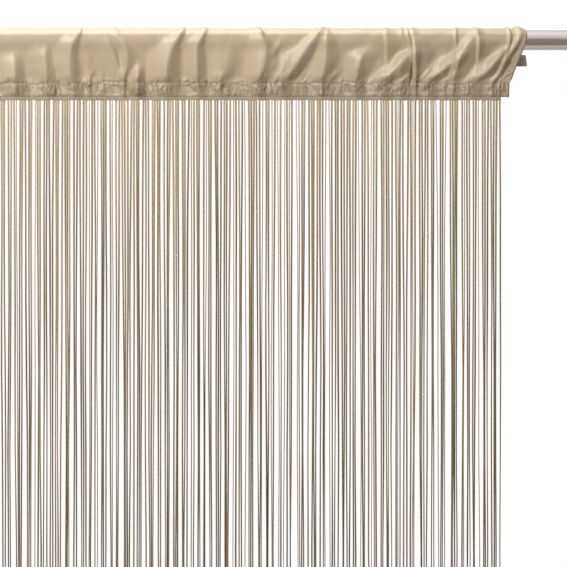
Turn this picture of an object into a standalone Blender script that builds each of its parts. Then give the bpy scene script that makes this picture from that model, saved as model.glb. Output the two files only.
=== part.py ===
"""A string curtain hanging on a wall-mounted rod.

A satin steel rod rests in two brackets that screw to a wall. A shirred sateen heading wraps the rod: its
pocket is one folded sheet whose two layers are sewn together in a gathered band below the rod. Under the
band a narrow strip carries the strings, which hang free. Below each bracket's arm sits a clamp screw.

The origin is on the wall, midway between the brackets and level with the rod's axis. +X is to the right as
seen from the room, +Z is up, and the curtain's face looks along -Y. Lengths are metres. Tables are in
millimetres and are turned into metres where they are read.
"""

import math
from typing import NamedTuple

import bmesh
import bpy
import numpy as np
from mathutils import Matrix, Vector

MM = 0.001

# ---- Driving dimensions -------------------------------------------------------------------------------------
CURTAIN_WIDTH = 0.900  # along the rod, at the top edge
CURTAIN_DROP = 2.000  # from the top edge of the heading to the strings' ends
ROD_RADIUS = 0.010
ROD_OVERHANG = 0.060  # beyond the curtain at each end
ROD_FROM_WALL = 0.075  # the rod's axis to the wall
ROD_SIDES = 48
ROD_CHAMFER = 0.001

# ---- Heading ------------------------------------------------------------------------------------------------
CLOTH = 0.0012  # thickness of one layer
POCKET_SLACK = 0.0008  # between the rod and the cloth that lies on it
SEAM_DROP = 0.0430  # the rod's axis down to the seam that closes the pocket
HEM_DROP = 0.0567  # the rod's axis down to the heading's lower edge
HEM_THICKNESS = 0.0026  # both layers, sewn together
TIP_RISE = 0.0022  # the inside of the pocket ends this far above the seam
SECTIONS = 104  # along the heading
ARC_STEPS = 8  # over the rod, from its front to its back
FRONT_ROWS = (1.0, 0.82, 0.64, 0.46, 0.29, 0.13)  # seam = 1, level with the rod's axis = 0
BACK_ROWS = (0.45, 1.0)
HEM_ROWS = 2
BACK_INSET = 0.024  # the back layer stops this far inside the top edge's end
FOLD_SHARE_IN_HEM = 0.55  # how much of a fold's depth is left in the sewn band
FOLD_RUN_OUT = (1.06, 0.25)  # in rows: where a fold ends over the seam, and the rows over which it fades
FRONT_CLOSING = 1.35  # the front falls away from the rod with this power of the row
BACK_CLOSING = 1.2
HEM_WAVE = (0.0006, 0.017, 0.0)  # height, length over 2 pi, and start
LONG_HEM_WAVE = (0.0005, 0.041, 1.0)
BACK_WAVE = (0.0006, 0.023, 0.0)
END_ZONE = 0.040  # the stretch at each end in which the sections take the slant of the cloth's edge

# ---- Strings ------------------------------------------------------------------------------------------------
STRINGS = 283
STRING_PITCH = 0.0030  # between roots
STRING_WIDTH = 0.0016
STRING_DEPTH = 0.00144
STRING_TUCKED_PITCH = 0.0021  # between strings that have drawn together
STRING_DRIFT = 0.0011  # how far a group wanders sideways
STRING_SWAY = 0.0012  # how far a string stands before or behind its neighbours
STRING_END_SPREAD = 0.004  # unevenness of the cut ends
STRING_LEVELS = ((0.32, 0.72),)  # metres below the root, share drawn together
GROUP_SIZES = (2, 3, 4, 5, 6)
STRINGS_SEED = 11
STRIP_HEIGHT = 0.0032
STRIP_DEPTH = 0.0017
GAP = 0.0004  # between pieces that are sewn or rest together

# ---- Brackets and clamp screws ------------------------------------------------------------------------------
BRACKET_X = 0.4395
PLATE_LENGTH = 0.044  # along the rod
PLATE_HEIGHT = 0.018
PLATE_THICKNESS = 0.004
PLATE_RIM = 0.0008
PLATE_END_STEPS = 10
PLATE_HOLE_RADIUS = 0.0023
PLATE_HOLE_SPACING = 0.030
SLEEVE_RADIUS = 0.0065
SLEEVE_END = 0.053  # from the wall
ARM_RADIUS = 0.0045
ARM_SIDES = 24
HOLE_SIDES = 20
CRADLE_WIDTH = 0.008
CRADLE_WALL = 0.003
CRADLE_STEPS = 12
CRADLE_FROM = 4  # degrees above level, behind the rod
CRADLE_TO = -120  # degrees, in front of the rod's lowest point
SCREW_FROM_WALL = 0.045
SCREW_RADIUS = 0.0025
SCREW_HOLE_RADIUS = 0.0029
SCREW_REACH = 0.0010  # how far past the arm's axis the hole goes
KNOB_TOP_DROP = 0.0143  # the rod's axis down to the knob
KNOB_HEIGHT = 0.0115
KNOB_TOP_RADIUS = 0.0092
KNOB_BASE_RADIUS = 0.0104
KNOB_BEVEL = 0.0006
KNOB_SIDES = 28

# ---- Shading ------------------------------------------------------------------------------------------------
SHARP_ANGLE = 40  # degrees between faces that are shaded as an edge


class Fold(NamedTuple):
    """One crease of the pocket's front, in mm from the curtain's middle and from the rod's axis."""

    x_top: float
    z_top: float
    x_foot: float
    z_foot: float
    bow: float  # how far the crease's middle is pushed sideways
    width: float  # half-width at which the crease has faded to about a third
    depth: float  # positive towards the room, negative into the pocket


FOLDS = (
    # the right-hand stretch, drawn up towards the end of the rod
    Fold(444, -4, 421, -46, 0, 6.5, 2.0),
    Fold(434, -14, 408, -46, 0, 6.5, -1.8),
    Fold(431, -10, 396, -44, 2, 6.5, 3.2),
    Fold(421, 2, 391, -34, 0, 7.5, -4.0),
    Fold(387, -10, 352, -46, 3, 6.5, 4.2),
    Fold(369, 0, 338, -38, 0, 7.5, -3.8),
    Fold(400, 8, 402, -8, 0, 6.5, 2.2),
    Fold(352, 4, 350, -12, 0, 6.5, 2.0),
    Fold(334, 10, 335, -57, 2, 5.5, -3.6),
    Fold(333, -6, 298, -46, -3, 6.5, 4.2),
    Fold(311, 2, 283, -46, 0, 7.0, -4.0),
    Fold(290, -2, 266, -44, 0, 7.0, 2.6),
    Fold(259, -10, 256, -40, 0, 8.5, -3.0),
    Fold(240, 8, 206, -42, 5, 7.0, 3.4),
    Fold(254, 8, 222, -46, 3, 6.5, -3.8),
    # the middle, where the creases begin to lean
    Fold(192, 6, 183, -46, 6, 6.5, -3.6),
    Fold(166, -2, 134, -48, -3, 7.0, 3.4),
    Fold(181, -2, 150, -50, -3, 6.5, -3.6),
    Fold(127, 6, 130, -54, -7, 6.5, -3.6),
    Fold(113, -6, 115, -46, -4, 6.5, 2.6),
    Fold(106, 10, 97, -48, -9, 7.0, -4.2),
    Fold(72, -2, 76, -44, 0, 9.0, 2.8),
    Fold(42, 8, 47, -46, 7, 6.0, -3.4),
    Fold(31, -2, 44, -44, 0, 6.0, -2.6),
    Fold(20, -2, 22, -44, 0, 7.0, 2.4),
    Fold(0, 8, 3, -48, -8, 6.5, -3.6),
    # the left-hand stretch, where they hang straight
    Fold(-40, -4, -27, -48, 2, 6.5, -3.4),
    Fold(-57, -12, -57, -50, 0, 6.5, -3.2),
    Fold(-75, -2, -72, -44, 0, 7.0, 2.6),
    Fold(-92, 4, -88, -48, -4, 6.5, -3.6),
    Fold(-128, -10, -124, -50, 3, 6.0, -3.0),
    Fold(-143, -2, -146, -44, 0, 7.0, 2.4),
    Fold(-160, 6, -166, -46, 5, 6.5, -3.6),
    Fold(-196, -12, -196, -52, 0, 6.0, -3.0),
    Fold(-229, 8, -238, -44, -5, 6.5, -3.8),
    Fold(-248, -2, -252, -42, 0, 8.0, 2.8),
    Fold(-268, -8, -262, -50, 3, 6.0, -2.8),
    Fold(-301, 6, -292, -46, 4, 6.5, -3.6),
    Fold(-338, -2, -310, -46, -3, 6.5, -3.6),
    Fold(-350, -6, -324, -44, -3, 6.5, 3.4),
    Fold(-392, -2, -366, -42, 0, 7.0, -3.8),
    Fold(-404, -8, -376, -44, 0, 7.0, 3.4),
    Fold(-430, -8, -404, -46, 2, 6.5, -1.8),
    Fold(-443, -4, -420, -46, 0, 6.5, 2.0),
)
FOLD_FADE = 9.0  # mm over which a crease runs out at its ends


class EdgePoint(NamedTuple):
    """One point of the slanted end of the heading, in mm."""

    height: float  # above the rod's axis
    inset: float  # inside the end of the top edge


SLANTED_EDGE = (
    EdgePoint(-57.0, 18.2),
    EdgePoint(-42.0, 17.8),
    EdgePoint(-39.0, 15.6),
    EdgePoint(-26.0, 10.8),
    EdgePoint(-12.0, 5.0),
    EdgePoint(-5.0, 2.0),
    EdgePoint(3.0, 0.0),
    EdgePoint(8.0, 0.4),
    EdgePoint(11.8, 3.0),
)


def clear_scene() -> None:
    """Remove every object that the new file holds."""
    for thing in list(bpy.data.objects):
        bpy.data.objects.remove(thing, do_unlink=True)


def principled(name: str, colour: tuple, roughness: float, metallic: float = 0.0) -> bpy.types.Material:
    """A Principled material of this linear colour."""
    material = bpy.data.materials.new(name)
    material.use_nodes = True
    shader = material.node_tree.nodes["Principled BSDF"]
    shader.inputs["Base Color"].default_value = (*colour, 1.0)
    shader.inputs["Roughness"].default_value = roughness
    shader.inputs["Metallic"].default_value = metallic
    return material


def node_from(name: str, mesh_or_bmesh, material: bpy.types.Material) -> bpy.types.Object:
    """An object of this name that shows the mesh in one material, with round faces shaded smooth."""
    if isinstance(mesh_or_bmesh, bmesh.types.BMesh):
        mesh = bpy.data.meshes.new(name)
        bmesh.ops.recalc_face_normals(mesh_or_bmesh, faces=mesh_or_bmesh.faces)
        mesh_or_bmesh.to_mesh(mesh)
        mesh_or_bmesh.free()
    else:
        mesh = mesh_or_bmesh
    mesh.materials.append(material)
    mesh.shade_smooth()
    mesh.set_sharp_from_angle(angle=math.radians(SHARP_ANGLE))
    thing = bpy.data.objects.new(name, mesh)
    bpy.context.scene.collection.objects.link(thing)
    return thing


# ---- The cloth's shape --------------------------------------------------------------------------------------
def smooth_step(value):
    """0 below 0, 1 above 1, with a soft rise between."""
    value = np.clip(value, 0.0, 1.0)
    return value * value * (3.0 - 2.0 * value)


def fold_depth(x, z):
    """How far the cloth stands out of its plain hang at this place, in metres, positive towards the room.

    Each fold is a bell across its crease line. The line runs from the fold's top to its foot, bowed to one
    side in the middle, and the bell fades in and out over its ends.
    """
    x_mm = np.asarray(x) / MM
    z_mm = np.asarray(z) / MM
    total = np.zeros(np.broadcast(x_mm, z_mm).shape)
    for fold in FOLDS:
        down = (fold.z_top - z_mm) / (fold.z_top - fold.z_foot)
        along = np.clip(down, 0.0, 1.0)
        line = fold.x_top + (fold.x_foot - fold.x_top) * along + fold.bow * np.sin(math.pi * along)
        across = np.exp(-(((x_mm - line) / fold.width) ** 2))
        fade_in = smooth_step((fold.z_top + FOLD_FADE - z_mm) / FOLD_FADE)
        fade_out = smooth_step((z_mm - fold.z_foot + FOLD_FADE) / FOLD_FADE)
        total = total + fold.depth * across * fade_in * fade_out
    return total * MM


def wave_at(x, wave: tuple):
    """A wave's value at x, from its height, its length over 2 pi and its start."""
    height, length, start = wave
    return height * np.sin(x / length + start)


def hem_line(x):
    """Where the sewn band stands, before or behind the rod's axis, at this place along the heading."""
    wave = wave_at(x, HEM_WAVE) + wave_at(x, LONG_HEM_WAVE)
    return -FOLD_SHARE_IN_HEM * fold_depth(x, -SEAM_DROP) + wave


def pocket_line(x: float) -> list:
    """The middle of the cloth round the pocket at x, as (y, z) from the rod's axis.

    It runs up the front from the seam, over the rod on a circle, and down the back to the seam. The front
    leaves the rod at its level and closes on the seam. The back does the same with only a trace of the
    front's folds, and near the seam it moves with the front.
    """
    radius = ROD_RADIUS + POCKET_SLACK + CLOTH / 2
    seam_y = float(hem_line(x))
    half_seam = (HEM_THICKNESS - CLOTH) / 2
    line = []
    for row in FRONT_ROWS:
        z = -SEAM_DROP * row
        closing = row**FRONT_CLOSING
        plain = -radius + (radius + seam_y - half_seam) * closing
        fold = float(fold_depth(x, z)) * smooth_step((FOLD_RUN_OUT[0] - row) / FOLD_RUN_OUT[1])
        clear_of_rod = -math.sqrt(max(radius**2 - z**2, 0.0))
        line.append((min(plain - fold, clear_of_rod), z))
    for step in range(ARC_STEPS + 1):
        angle = math.pi * (1.0 - step / ARC_STEPS)
        share = smooth_step(-math.cos(angle))
        fold = max(float(fold_depth(x, radius * math.sin(angle))), 0.0) * share
        line.append(((radius + fold) * math.cos(angle), (radius + fold) * math.sin(angle)))
    for row in BACK_ROWS:
        z = -SEAM_DROP * row
        closing = row**BACK_CLOSING
        plain = radius + (seam_y + half_seam - radius) * closing
        line.append((plain + float(wave_at(x, BACK_WAVE)) * (1 - row), z))
    return line


def end_inset(z: float, on_back: bool, arc_share: float) -> float:
    """How far inside the top edge's end the cloth stops, at this height and side.

    The front has the slanted edge. Over the rod it blends towards the back layer, which stops short of the
    bracket's arm.
    """
    heights = [point.height * MM for point in SLANTED_EDGE]
    insets = [point.inset * MM for point in SLANTED_EDGE]
    front = float(np.interp(z, heights, insets))
    if not on_back:
        return front
    if z < -SEAM_DROP + MM:
        return front
    return front + (BACK_INSET - front) * arc_share


def section_at(x: float) -> list:
    """The closed section of the heading at x: (y, z, inset) of the outside, then of the pocket's inside.

    The outside runs up the front from the lower edge, over the rod and down the back. The inside begins at
    its lowest point, where the layers meet.
    """
    middle = pocket_line(x)
    seam_y = float(hem_line(x))
    outside = []
    inside = []
    last = len(middle) - 1
    top = len(FRONT_ROWS) + ARC_STEPS // 2
    for index, (y, z) in enumerate(middle):
        before = Vector(middle[max(index - 1, 0)])
        after = Vector(middle[min(index + 1, last)])
        along = (after - before).normalized()
        out_y, out_z = -along.y, along.x
        if index in (0, last):
            out_y, out_z = (-1.0 if index == 0 else 1.0), 0.0
        behind = index > top
        share = smooth_step((index - top) / (ARC_STEPS / 2))
        inset = end_inset(z, behind, share)
        outside.append((y + out_y * CLOTH / 2, z + out_z * CLOTH / 2, inset))
        if 0 < index < last:
            inside.append((y - out_y * CLOTH / 2, z - out_z * CLOTH / 2, inset))
    tip = (seam_y, -SEAM_DROP + TIP_RISE, end_inset(-SEAM_DROP, False, 0.0))
    drops = [SEAM_DROP + (HEM_DROP - SEAM_DROP) * (row + 1) / HEM_ROWS for row in range(HEM_ROWS)]
    half = HEM_THICKNESS / 2
    front_hem = [(seam_y - half, -drop, end_inset(-drop, False, 0.0)) for drop in reversed(drops)]
    back_hem = [(seam_y + half, -drop, end_inset(-drop, False, 0.0)) for drop in drops]
    return front_hem + outside + back_hem, [tip, *inside]


def shifted_x(x: float, inset: float) -> float:
    """x, drawn in towards the middle inside the end zones so that the last section follows the slant."""
    end = CURTAIN_WIDTH / 2
    share = max((abs(x) - (end - END_ZONE)) / END_ZONE, 0.0)
    return x - math.copysign(inset * share, x)


def build_heading(material: bpy.types.Material) -> bpy.types.Object:
    """The heading: one folded sheet, open at both ends of its pocket and closed by the sewn band."""
    bm = bmesh.new()
    rings = []
    for x in np.linspace(-CURTAIN_WIDTH / 2, CURTAIN_WIDTH / 2, SECTIONS + 1):
        outside, inside = section_at(float(x))
        ring = []
        for loop in (outside, inside):
            ring.append(
                [bm.verts.new((shifted_x(float(x), inset), y - ROD_FROM_WALL, z)) for y, z, inset in loop]
            )
        rings.append(ring)
    for ring, following in zip(rings, rings[1:]):
        for near, far, turn in ((ring[0], following[0], 1), (ring[1], following[1], -1)):
            for index in range(len(near)):
                after = (index + 1) % len(near)
                quad = (near[index], near[after], far[after], far[index])
                bm.faces.new(quad[::turn])
    for (outside, inside), turn in ((rings[0], 1), (rings[-1], -1)):
        add_end_faces(bm, outside, inside, turn)
    bmesh.ops.triangulate(bm, faces=bm.faces)
    return node_from("heading", bm, material)


def add_end_faces(bm: bmesh.types.BMesh, outside: list, inside: list, turn: int) -> None:
    """Close one end of the heading between the outside loop and the pocket's inside loop."""
    tip = inside[0]
    wall = outside[HEM_ROWS : len(outside) - HEM_ROWS]
    lining = [tip, *inside[1:], tip]
    for index in range(len(wall) - 1):
        corners = [wall[index], wall[index + 1], lining[index + 1], lining[index]]
        distinct = list(dict.fromkeys(corners))
        bm.faces.new(distinct[::-turn])
    for row in range(HEM_ROWS):
        front_low, front_high = outside[row], outside[row + 1]
        back_low, back_high = outside[-1 - row], outside[-2 - row]
        corners = [front_low, front_high, back_high, back_low]
        if row == HEM_ROWS - 1:
            corners.insert(2, tip)
        bm.faces.new(corners[::-turn])


# ---- The strings --------------------------------------------------------------------------------------------
class Hang(NamedTuple):
    """How one string hangs."""

    root_x: float
    tucked_x: float  # where it would hang if its group were fully drawn together
    sway: float  # before or behind the strip's line, at its end
    end_drop: float  # extra length at its end


def string_hangs() -> list:
    """The strings' places: evenly spaced roots, drawn together in small uneven groups further down."""
    draw = np.random.default_rng(STRINGS_SEED)
    first = -(STRINGS - 1) / 2 * STRING_PITCH
    hangs = []
    while len(hangs) < STRINGS:
        size = min(int(draw.choice(GROUP_SIZES)), STRINGS - len(hangs))
        middle = first + (len(hangs) + (size - 1) / 2) * STRING_PITCH
        drift = float(draw.uniform(-STRING_DRIFT, STRING_DRIFT))
        for place in range(size):
            root_x = first + len(hangs) * STRING_PITCH
            tucked_x = middle + drift + (place - (size - 1) / 2) * STRING_TUCKED_PITCH
            sway = float(draw.uniform(-STRING_SWAY, STRING_SWAY))
            end_drop = float(draw.uniform(-STRING_END_SPREAD, STRING_END_SPREAD))
            hangs.append(Hang(root_x, tucked_x, sway, end_drop))
    return hangs


def triangle_at(x: float, y: float, z: float, depth: float) -> list:
    """A string's three corners: two in front and one behind."""
    half = STRING_WIDTH / 2
    return [Vector((x - half, y, z)), Vector((x + half, y, z)), Vector((x, y + depth, z))]


def build_fringe(material: bpy.types.Material) -> bpy.types.Object:
    """The strings and the narrow strip that holds their roots, as one body.

    The strip's underside is cut into triangles at the roots and four-sided faces between them, and each
    root is drawn down out of the strip, level by level.
    """
    strip_top = -HEM_DROP - GAP
    strip_foot = strip_top - STRIP_HEIGHT
    string_length = CURTAIN_DROP - (ROD_RADIUS + POCKET_SLACK + CLOTH) + strip_foot
    hangs = string_hangs()
    bm = bmesh.new()
    roots = []
    upper = []
    for hang in hangs:
        front_y = float(hem_line(hang.root_x)) - ROD_FROM_WALL - STRIP_DEPTH / 2
        roots.append([bm.verts.new(c) for c in triangle_at(hang.root_x, front_y, strip_foot, STRIP_DEPTH)])
        upper.append(
            [bm.verts.new((hang.root_x, front_y + across, strip_top)) for across in (0.0, STRIP_DEPTH)]
        )
    for root, after, top, next_top in zip(roots, roots[1:], upper, upper[1:]):
        bm.faces.new((root[1], root[2], after[2], after[0]))  # underside
        bm.faces.new((top[0], root[1], after[0], next_top[0]))  # front
        bm.faces.new((top[1], next_top[1], after[2], root[2]))  # back
        bm.faces.new((top[0], next_top[0], next_top[1], top[1]))  # upper edge
    for root, top in zip(roots, upper):
        bm.faces.new((top[0], root[0], root[1]))
    bm.faces.new((upper[0][0], upper[0][1], roots[0][2], roots[0][0]))
    bm.faces.new((upper[-1][0], roots[-1][1], roots[-1][2], upper[-1][1]))
    for hang, root in zip(hangs, roots):
        draw_string(bm, hang, root, strip_foot, string_length)
    bmesh.ops.triangulate(bm, faces=bm.faces)
    return node_from("string_fringe", bm, material)


def draw_string(bm: bmesh.types.BMesh, hang: Hang, root: list, top_z: float, length: float) -> None:
    """Draw one string down from its root to its cut end."""
    levels = [*STRING_LEVELS, (length + hang.end_drop, 1.0)]
    root_y = root[0].co.y
    ring = root
    for drop, tucked in levels:
        x = hang.root_x + (hang.tucked_x - hang.root_x) * tucked
        hung_y = -ROD_FROM_WALL - STRING_WIDTH / 2 + hang.sway
        y = root_y + (hung_y - root_y) * tucked
        lower = [bm.verts.new(c) for c in triangle_at(x, y, top_z - drop, STRING_DEPTH)]
        for index in range(3):
            after = (index + 1) % 3
            bm.faces.new((ring[index], lower[index], lower[after], ring[after]))
        ring = lower
    bm.faces.new(ring[::-1])


# ---- The rod, the brackets and the clamp screws -------------------------------------------------------------
def turned(radii_and_places: list, sides: int, axis: str) -> bmesh.types.BMesh:
    """A closed turned solid along an axis: one ring of vertices for each (radius, place) pair."""
    turn = {"x": Matrix.Rotation(math.pi / 2, 4, "Y"), "y": Matrix.Rotation(-math.pi / 2, 4, "X")}.get(axis)
    bm = bmesh.new()
    rings = []
    for radius, place in radii_and_places:
        made = bmesh.ops.create_circle(bm, segments=sides, radius=radius)
        bmesh.ops.translate(bm, verts=made["verts"], vec=(0.0, 0.0, place))
        rings.append(made["verts"])
    for ring, following in zip(rings, rings[1:]):
        for index in range(sides):
            after = (index + 1) % sides
            bm.faces.new((ring[index], ring[after], following[after], following[index]))
    bm.faces.new(rings[0][::-1])
    bm.faces.new(rings[-1])
    if turn is not None:
        bmesh.ops.transform(bm, matrix=turn, verts=bm.verts)
    return bm


def helper(name: str, bm: bmesh.types.BMesh, location: tuple) -> bpy.types.Object:
    """A piece that is only joined to another or cut from it."""
    bmesh.ops.recalc_face_normals(bm, faces=bm.faces)
    mesh = bpy.data.meshes.new(name)
    bm.to_mesh(mesh)
    bm.free()
    thing = bpy.data.objects.new(name, mesh)
    thing.location = location
    thing.hide_render = True
    thing.display_type = "WIRE"
    bpy.context.scene.collection.objects.link(thing)
    return thing


def combine(thing: bpy.types.Object, other: bpy.types.Object, operation: str) -> None:
    """Join another piece to this one, or cut it away, with a live Boolean."""
    modifier = thing.modifiers.new(f"{operation.lower()} {other.name}", "BOOLEAN")
    modifier.operation = operation
    modifier.solver = "EXACT"
    modifier.object = other
    other.parent = thing
    other.matrix_parent_inverse = thing.matrix_world.inverted()


def build_rod(material: bpy.types.Material) -> bpy.types.Object:
    """The rod: a plain round bar with chamfered flat ends."""
    half = CURTAIN_WIDTH / 2 + ROD_OVERHANG
    small = ROD_RADIUS - ROD_CHAMFER
    profile = [(small, -half), (ROD_RADIUS, ROD_CHAMFER - half), (ROD_RADIUS, half - ROD_CHAMFER), (small, half)]
    rod = node_from("rod", turned(profile, ROD_SIDES, "x"), material)
    rod.location = (0.0, -ROD_FROM_WALL, 0.0)
    return rod


def cradle_section() -> bmesh.types.BMesh:
    """The strap that the rod lies in: an arc from behind the rod to just in front of its lowest point."""
    inner = ROD_RADIUS + GAP
    outer = inner + CRADLE_WALL
    angles = np.radians(np.linspace(CRADLE_FROM, CRADLE_TO, CRADLE_STEPS + 1))
    outline = [(outer * math.cos(a), outer * math.sin(a)) for a in angles]
    outline += [(inner * math.cos(a), inner * math.sin(a)) for a in reversed(angles)]
    bm = bmesh.new()
    count = len(outline)
    sides = [[bm.verts.new((x, y, z)) for y, z in outline] for x in (-CRADLE_WIDTH / 2, CRADLE_WIDTH / 2)]
    bm.faces.new(sides[0])
    bm.faces.new(sides[1][::-1])
    for index in range(count):
        after = (index + 1) % count
        bm.faces.new((sides[0][index], sides[1][index], sides[1][after], sides[0][after]))
    return bm


def wall_plate() -> bmesh.types.BMesh:
    """A level plate with round ends, its back on the wall and its front edge eased."""
    bm = bmesh.new()
    straight = (PLATE_LENGTH - PLATE_HEIGHT) / 2
    rings = []
    for radius, y in (
        (PLATE_HEIGHT / 2, 0.0),
        (PLATE_HEIGHT / 2, PLATE_RIM - PLATE_THICKNESS),
        (PLATE_HEIGHT / 2 - PLATE_RIM, -PLATE_THICKNESS),
    ):
        ring = []
        for side in (1, -1):
            for angle in np.radians(np.linspace(-90, 90, PLATE_END_STEPS + 1)):
                x = side * (straight + radius * math.cos(angle))
                ring.append(bm.verts.new((x, y, side * radius * math.sin(angle))))
        rings.append(ring)
    for ring, following in zip(rings, rings[1:]):
        for index in range(len(ring)):
            after = (index + 1) % len(ring)
            bm.faces.new((ring[index], ring[after], following[after], following[index]))
    bm.faces.new(rings[0][::-1])
    bm.faces.new(rings[-1])
    return bm


def build_bracket(name: str, x: float, material: bpy.types.Material) -> bpy.types.Object:
    """A bracket: a level wall plate, a stepped arm and the cradle at its end."""
    bracket = node_from(name, wall_plate(), material)
    bracket.location = (x, 0.0, 0.0)
    bpy.context.view_layer.update()
    sleeve = [(SLEEVE_RADIUS, -0.5 * PLATE_THICKNESS), (SLEEVE_RADIUS, -SLEEVE_END)]
    reach = ROD_FROM_WALL - ROD_RADIUS - GAP - CRADLE_WALL / 2
    arm = [(ARM_RADIUS, 0.5 * MM - SLEEVE_END), (ARM_RADIUS, -reach)]
    combine(bracket, helper(f"{name} sleeve", turned(sleeve, ARM_SIDES, "y"), (x, 0.0, 0.0)), "UNION")
    combine(bracket, helper(f"{name} arm", turned(arm, ARM_SIDES, "y"), (x, 0.0, 0.0)), "UNION")
    combine(bracket, helper(f"{name} cradle", cradle_section(), (x, -ROD_FROM_WALL, 0.0)), "UNION")
    bore = [(SCREW_HOLE_RADIUS, -2.0 * SLEEVE_RADIUS), (SCREW_HOLE_RADIUS, SCREW_REACH)]
    combine(bracket, helper(f"{name} bore", turned(bore, HOLE_SIDES, "z"), (x, -SCREW_FROM_WALL, 0.0)), "DIFFERENCE")
    hole = [(PLATE_HOLE_RADIUS, -2.0 * PLATE_THICKNESS), (PLATE_HOLE_RADIUS, PLATE_THICKNESS)]
    for label, side in (("outer", 1), ("inner", -1)):
        place = (x + side * PLATE_HOLE_SPACING / 2, 0.0, 0.0)
        combine(bracket, helper(f"{name} {label} hole", turned(hole, HOLE_SIDES, "y"), place), "DIFFERENCE")
    return bracket


def build_clamp_screw(name: str, x: float, material: bpy.types.Material) -> bpy.types.Object:
    """A clamp screw: a shaft up into the bracket's sleeve and a knob that flares downwards."""
    top = -KNOB_TOP_DROP
    foot = top - KNOB_HEIGHT
    profile = [
        (KNOB_BASE_RADIUS - KNOB_BEVEL, foot),
        (KNOB_BASE_RADIUS, foot + KNOB_BEVEL),
        (KNOB_TOP_RADIUS, top - KNOB_BEVEL),
        (KNOB_TOP_RADIUS - KNOB_BEVEL, top),
        (SCREW_RADIUS, top),
        (SCREW_RADIUS, SCREW_REACH - GAP),
    ]
    screw = node_from(name, turned(profile, KNOB_SIDES, "z"), material)
    screw.location = (x, -SCREW_FROM_WALL, 0.0)
    return screw


def main() -> None:
    """Build the whole curtain."""
    clear_scene()
    sateen = principled("sateen", (0.47, 0.39, 0.29), 0.45)
    yarn = principled("yarn", (0.45, 0.40, 0.33), 0.75)
    satin_steel = principled("satin_steel", (0.55, 0.52, 0.50), 0.28, 1.0)
    dark_metal = principled("dark_metal", (0.13, 0.11, 0.10), 0.40, 0.6)
    dark_plastic = principled("dark_plastic", (0.12, 0.10, 0.09), 0.45)
    build_rod(satin_steel)
    build_heading(sateen)
    build_fringe(yarn)
    for side, x in (("left", -BRACKET_X), ("right", BRACKET_X)):
        build_bracket(f"bracket_{side}", x, dark_metal)
        build_clamp_screw(f"clamp_screw_{side}", x, dark_plastic)


if __name__ == "__main__":
    main()
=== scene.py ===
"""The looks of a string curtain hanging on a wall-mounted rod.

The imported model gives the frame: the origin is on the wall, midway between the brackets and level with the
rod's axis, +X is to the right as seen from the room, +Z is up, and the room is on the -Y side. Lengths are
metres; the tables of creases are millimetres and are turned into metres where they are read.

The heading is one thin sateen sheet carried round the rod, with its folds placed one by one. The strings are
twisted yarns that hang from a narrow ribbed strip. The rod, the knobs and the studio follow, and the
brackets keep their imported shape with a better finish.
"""

import logging
import math
from dataclasses import dataclass, field
from enum import Enum
from typing import NamedTuple

import bpy
import numpy as np
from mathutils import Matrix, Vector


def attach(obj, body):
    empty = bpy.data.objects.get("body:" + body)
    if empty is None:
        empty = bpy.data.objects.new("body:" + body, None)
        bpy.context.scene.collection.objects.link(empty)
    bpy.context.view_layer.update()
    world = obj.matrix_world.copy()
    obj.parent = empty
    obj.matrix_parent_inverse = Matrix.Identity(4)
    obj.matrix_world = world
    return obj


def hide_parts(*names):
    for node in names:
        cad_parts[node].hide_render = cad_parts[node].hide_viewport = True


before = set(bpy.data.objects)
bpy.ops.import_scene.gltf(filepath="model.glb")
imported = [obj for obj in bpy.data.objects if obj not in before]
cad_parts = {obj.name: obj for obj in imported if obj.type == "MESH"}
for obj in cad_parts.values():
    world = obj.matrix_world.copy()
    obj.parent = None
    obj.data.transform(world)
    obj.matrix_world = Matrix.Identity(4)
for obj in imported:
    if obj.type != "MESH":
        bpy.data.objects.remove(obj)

log = logging.getLogger("string_curtain")
MM = 0.001
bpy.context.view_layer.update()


# ---- Small helpers -------------------------------------------------------------------------------
def linear(hex_colour: str) -> tuple:
    """Turn an sRGB hex colour into linear RGBA.

    Each channel c in 0..1 becomes c / 12.92 below 0.04045, and ((c + 0.055) / 1.055) ** 2.4 above it.

    Args:
        hex_colour: six hex digits, with or without a leading #.

    Returns:
        Four floats: red, green, blue and an alpha of 1.
    """
    digits = hex_colour.lstrip("#")
    channels = np.array([int(digits[i : i + 2], 16) / 255.0 for i in (0, 2, 4)])
    low = channels / 12.92
    high = ((channels + 0.055) / 1.055) ** 2.4
    return (*np.where(channels <= 0.04045, low, high).tolist(), 1.0)


def rise(value: np.ndarray, start: float = 0.0, over: float = 1.0) -> np.ndarray:
    """0 up to the start, 1 from start + over on, and 3t^2 - 2t^3 between, t being the share of the way."""
    share = np.clip((value - start) / over, 0.0, 1.0)
    return share * share * (3.0 - 2.0 * share)


@dataclass(frozen=True)
class Noise:
    """Smooth noise in -1..1: random values on a lattice, blended by a smooth step in both directions."""

    wide: float  # mm, one cell along the rod
    high: float  # mm, one cell upwards
    seed: int
    size: int = 256  # cells before the lattice repeats

    def at(self, x: np.ndarray, z: np.ndarray) -> np.ndarray:
        """Read the noise off the lattice.

        Args:
            x: places along the rod, in metres.
            z: heights, in metres.

        Returns:
            An array of the broadcast shape of x and z.
        """
        lattice = np.random.default_rng(self.seed).uniform(-1.0, 1.0, (self.size, self.size))
        u = x / (self.wide * MM)
        v = z / (self.high * MM)
        u_cell = np.floor(u).astype(int)
        v_cell = np.floor(v).astype(int)
        u_share = rise(u - u_cell)
        v_share = rise(v - v_cell)
        lines = []
        for step in (0, 1):
            row = (v_cell + step) % self.size
            left = lattice[u_cell % self.size, row]
            right = lattice[(u_cell + 1) % self.size, row]
            lines.append(left * (1 - u_share) + right * u_share)
        return lines[0] * (1 - v_share) + lines[1] * v_share


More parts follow.
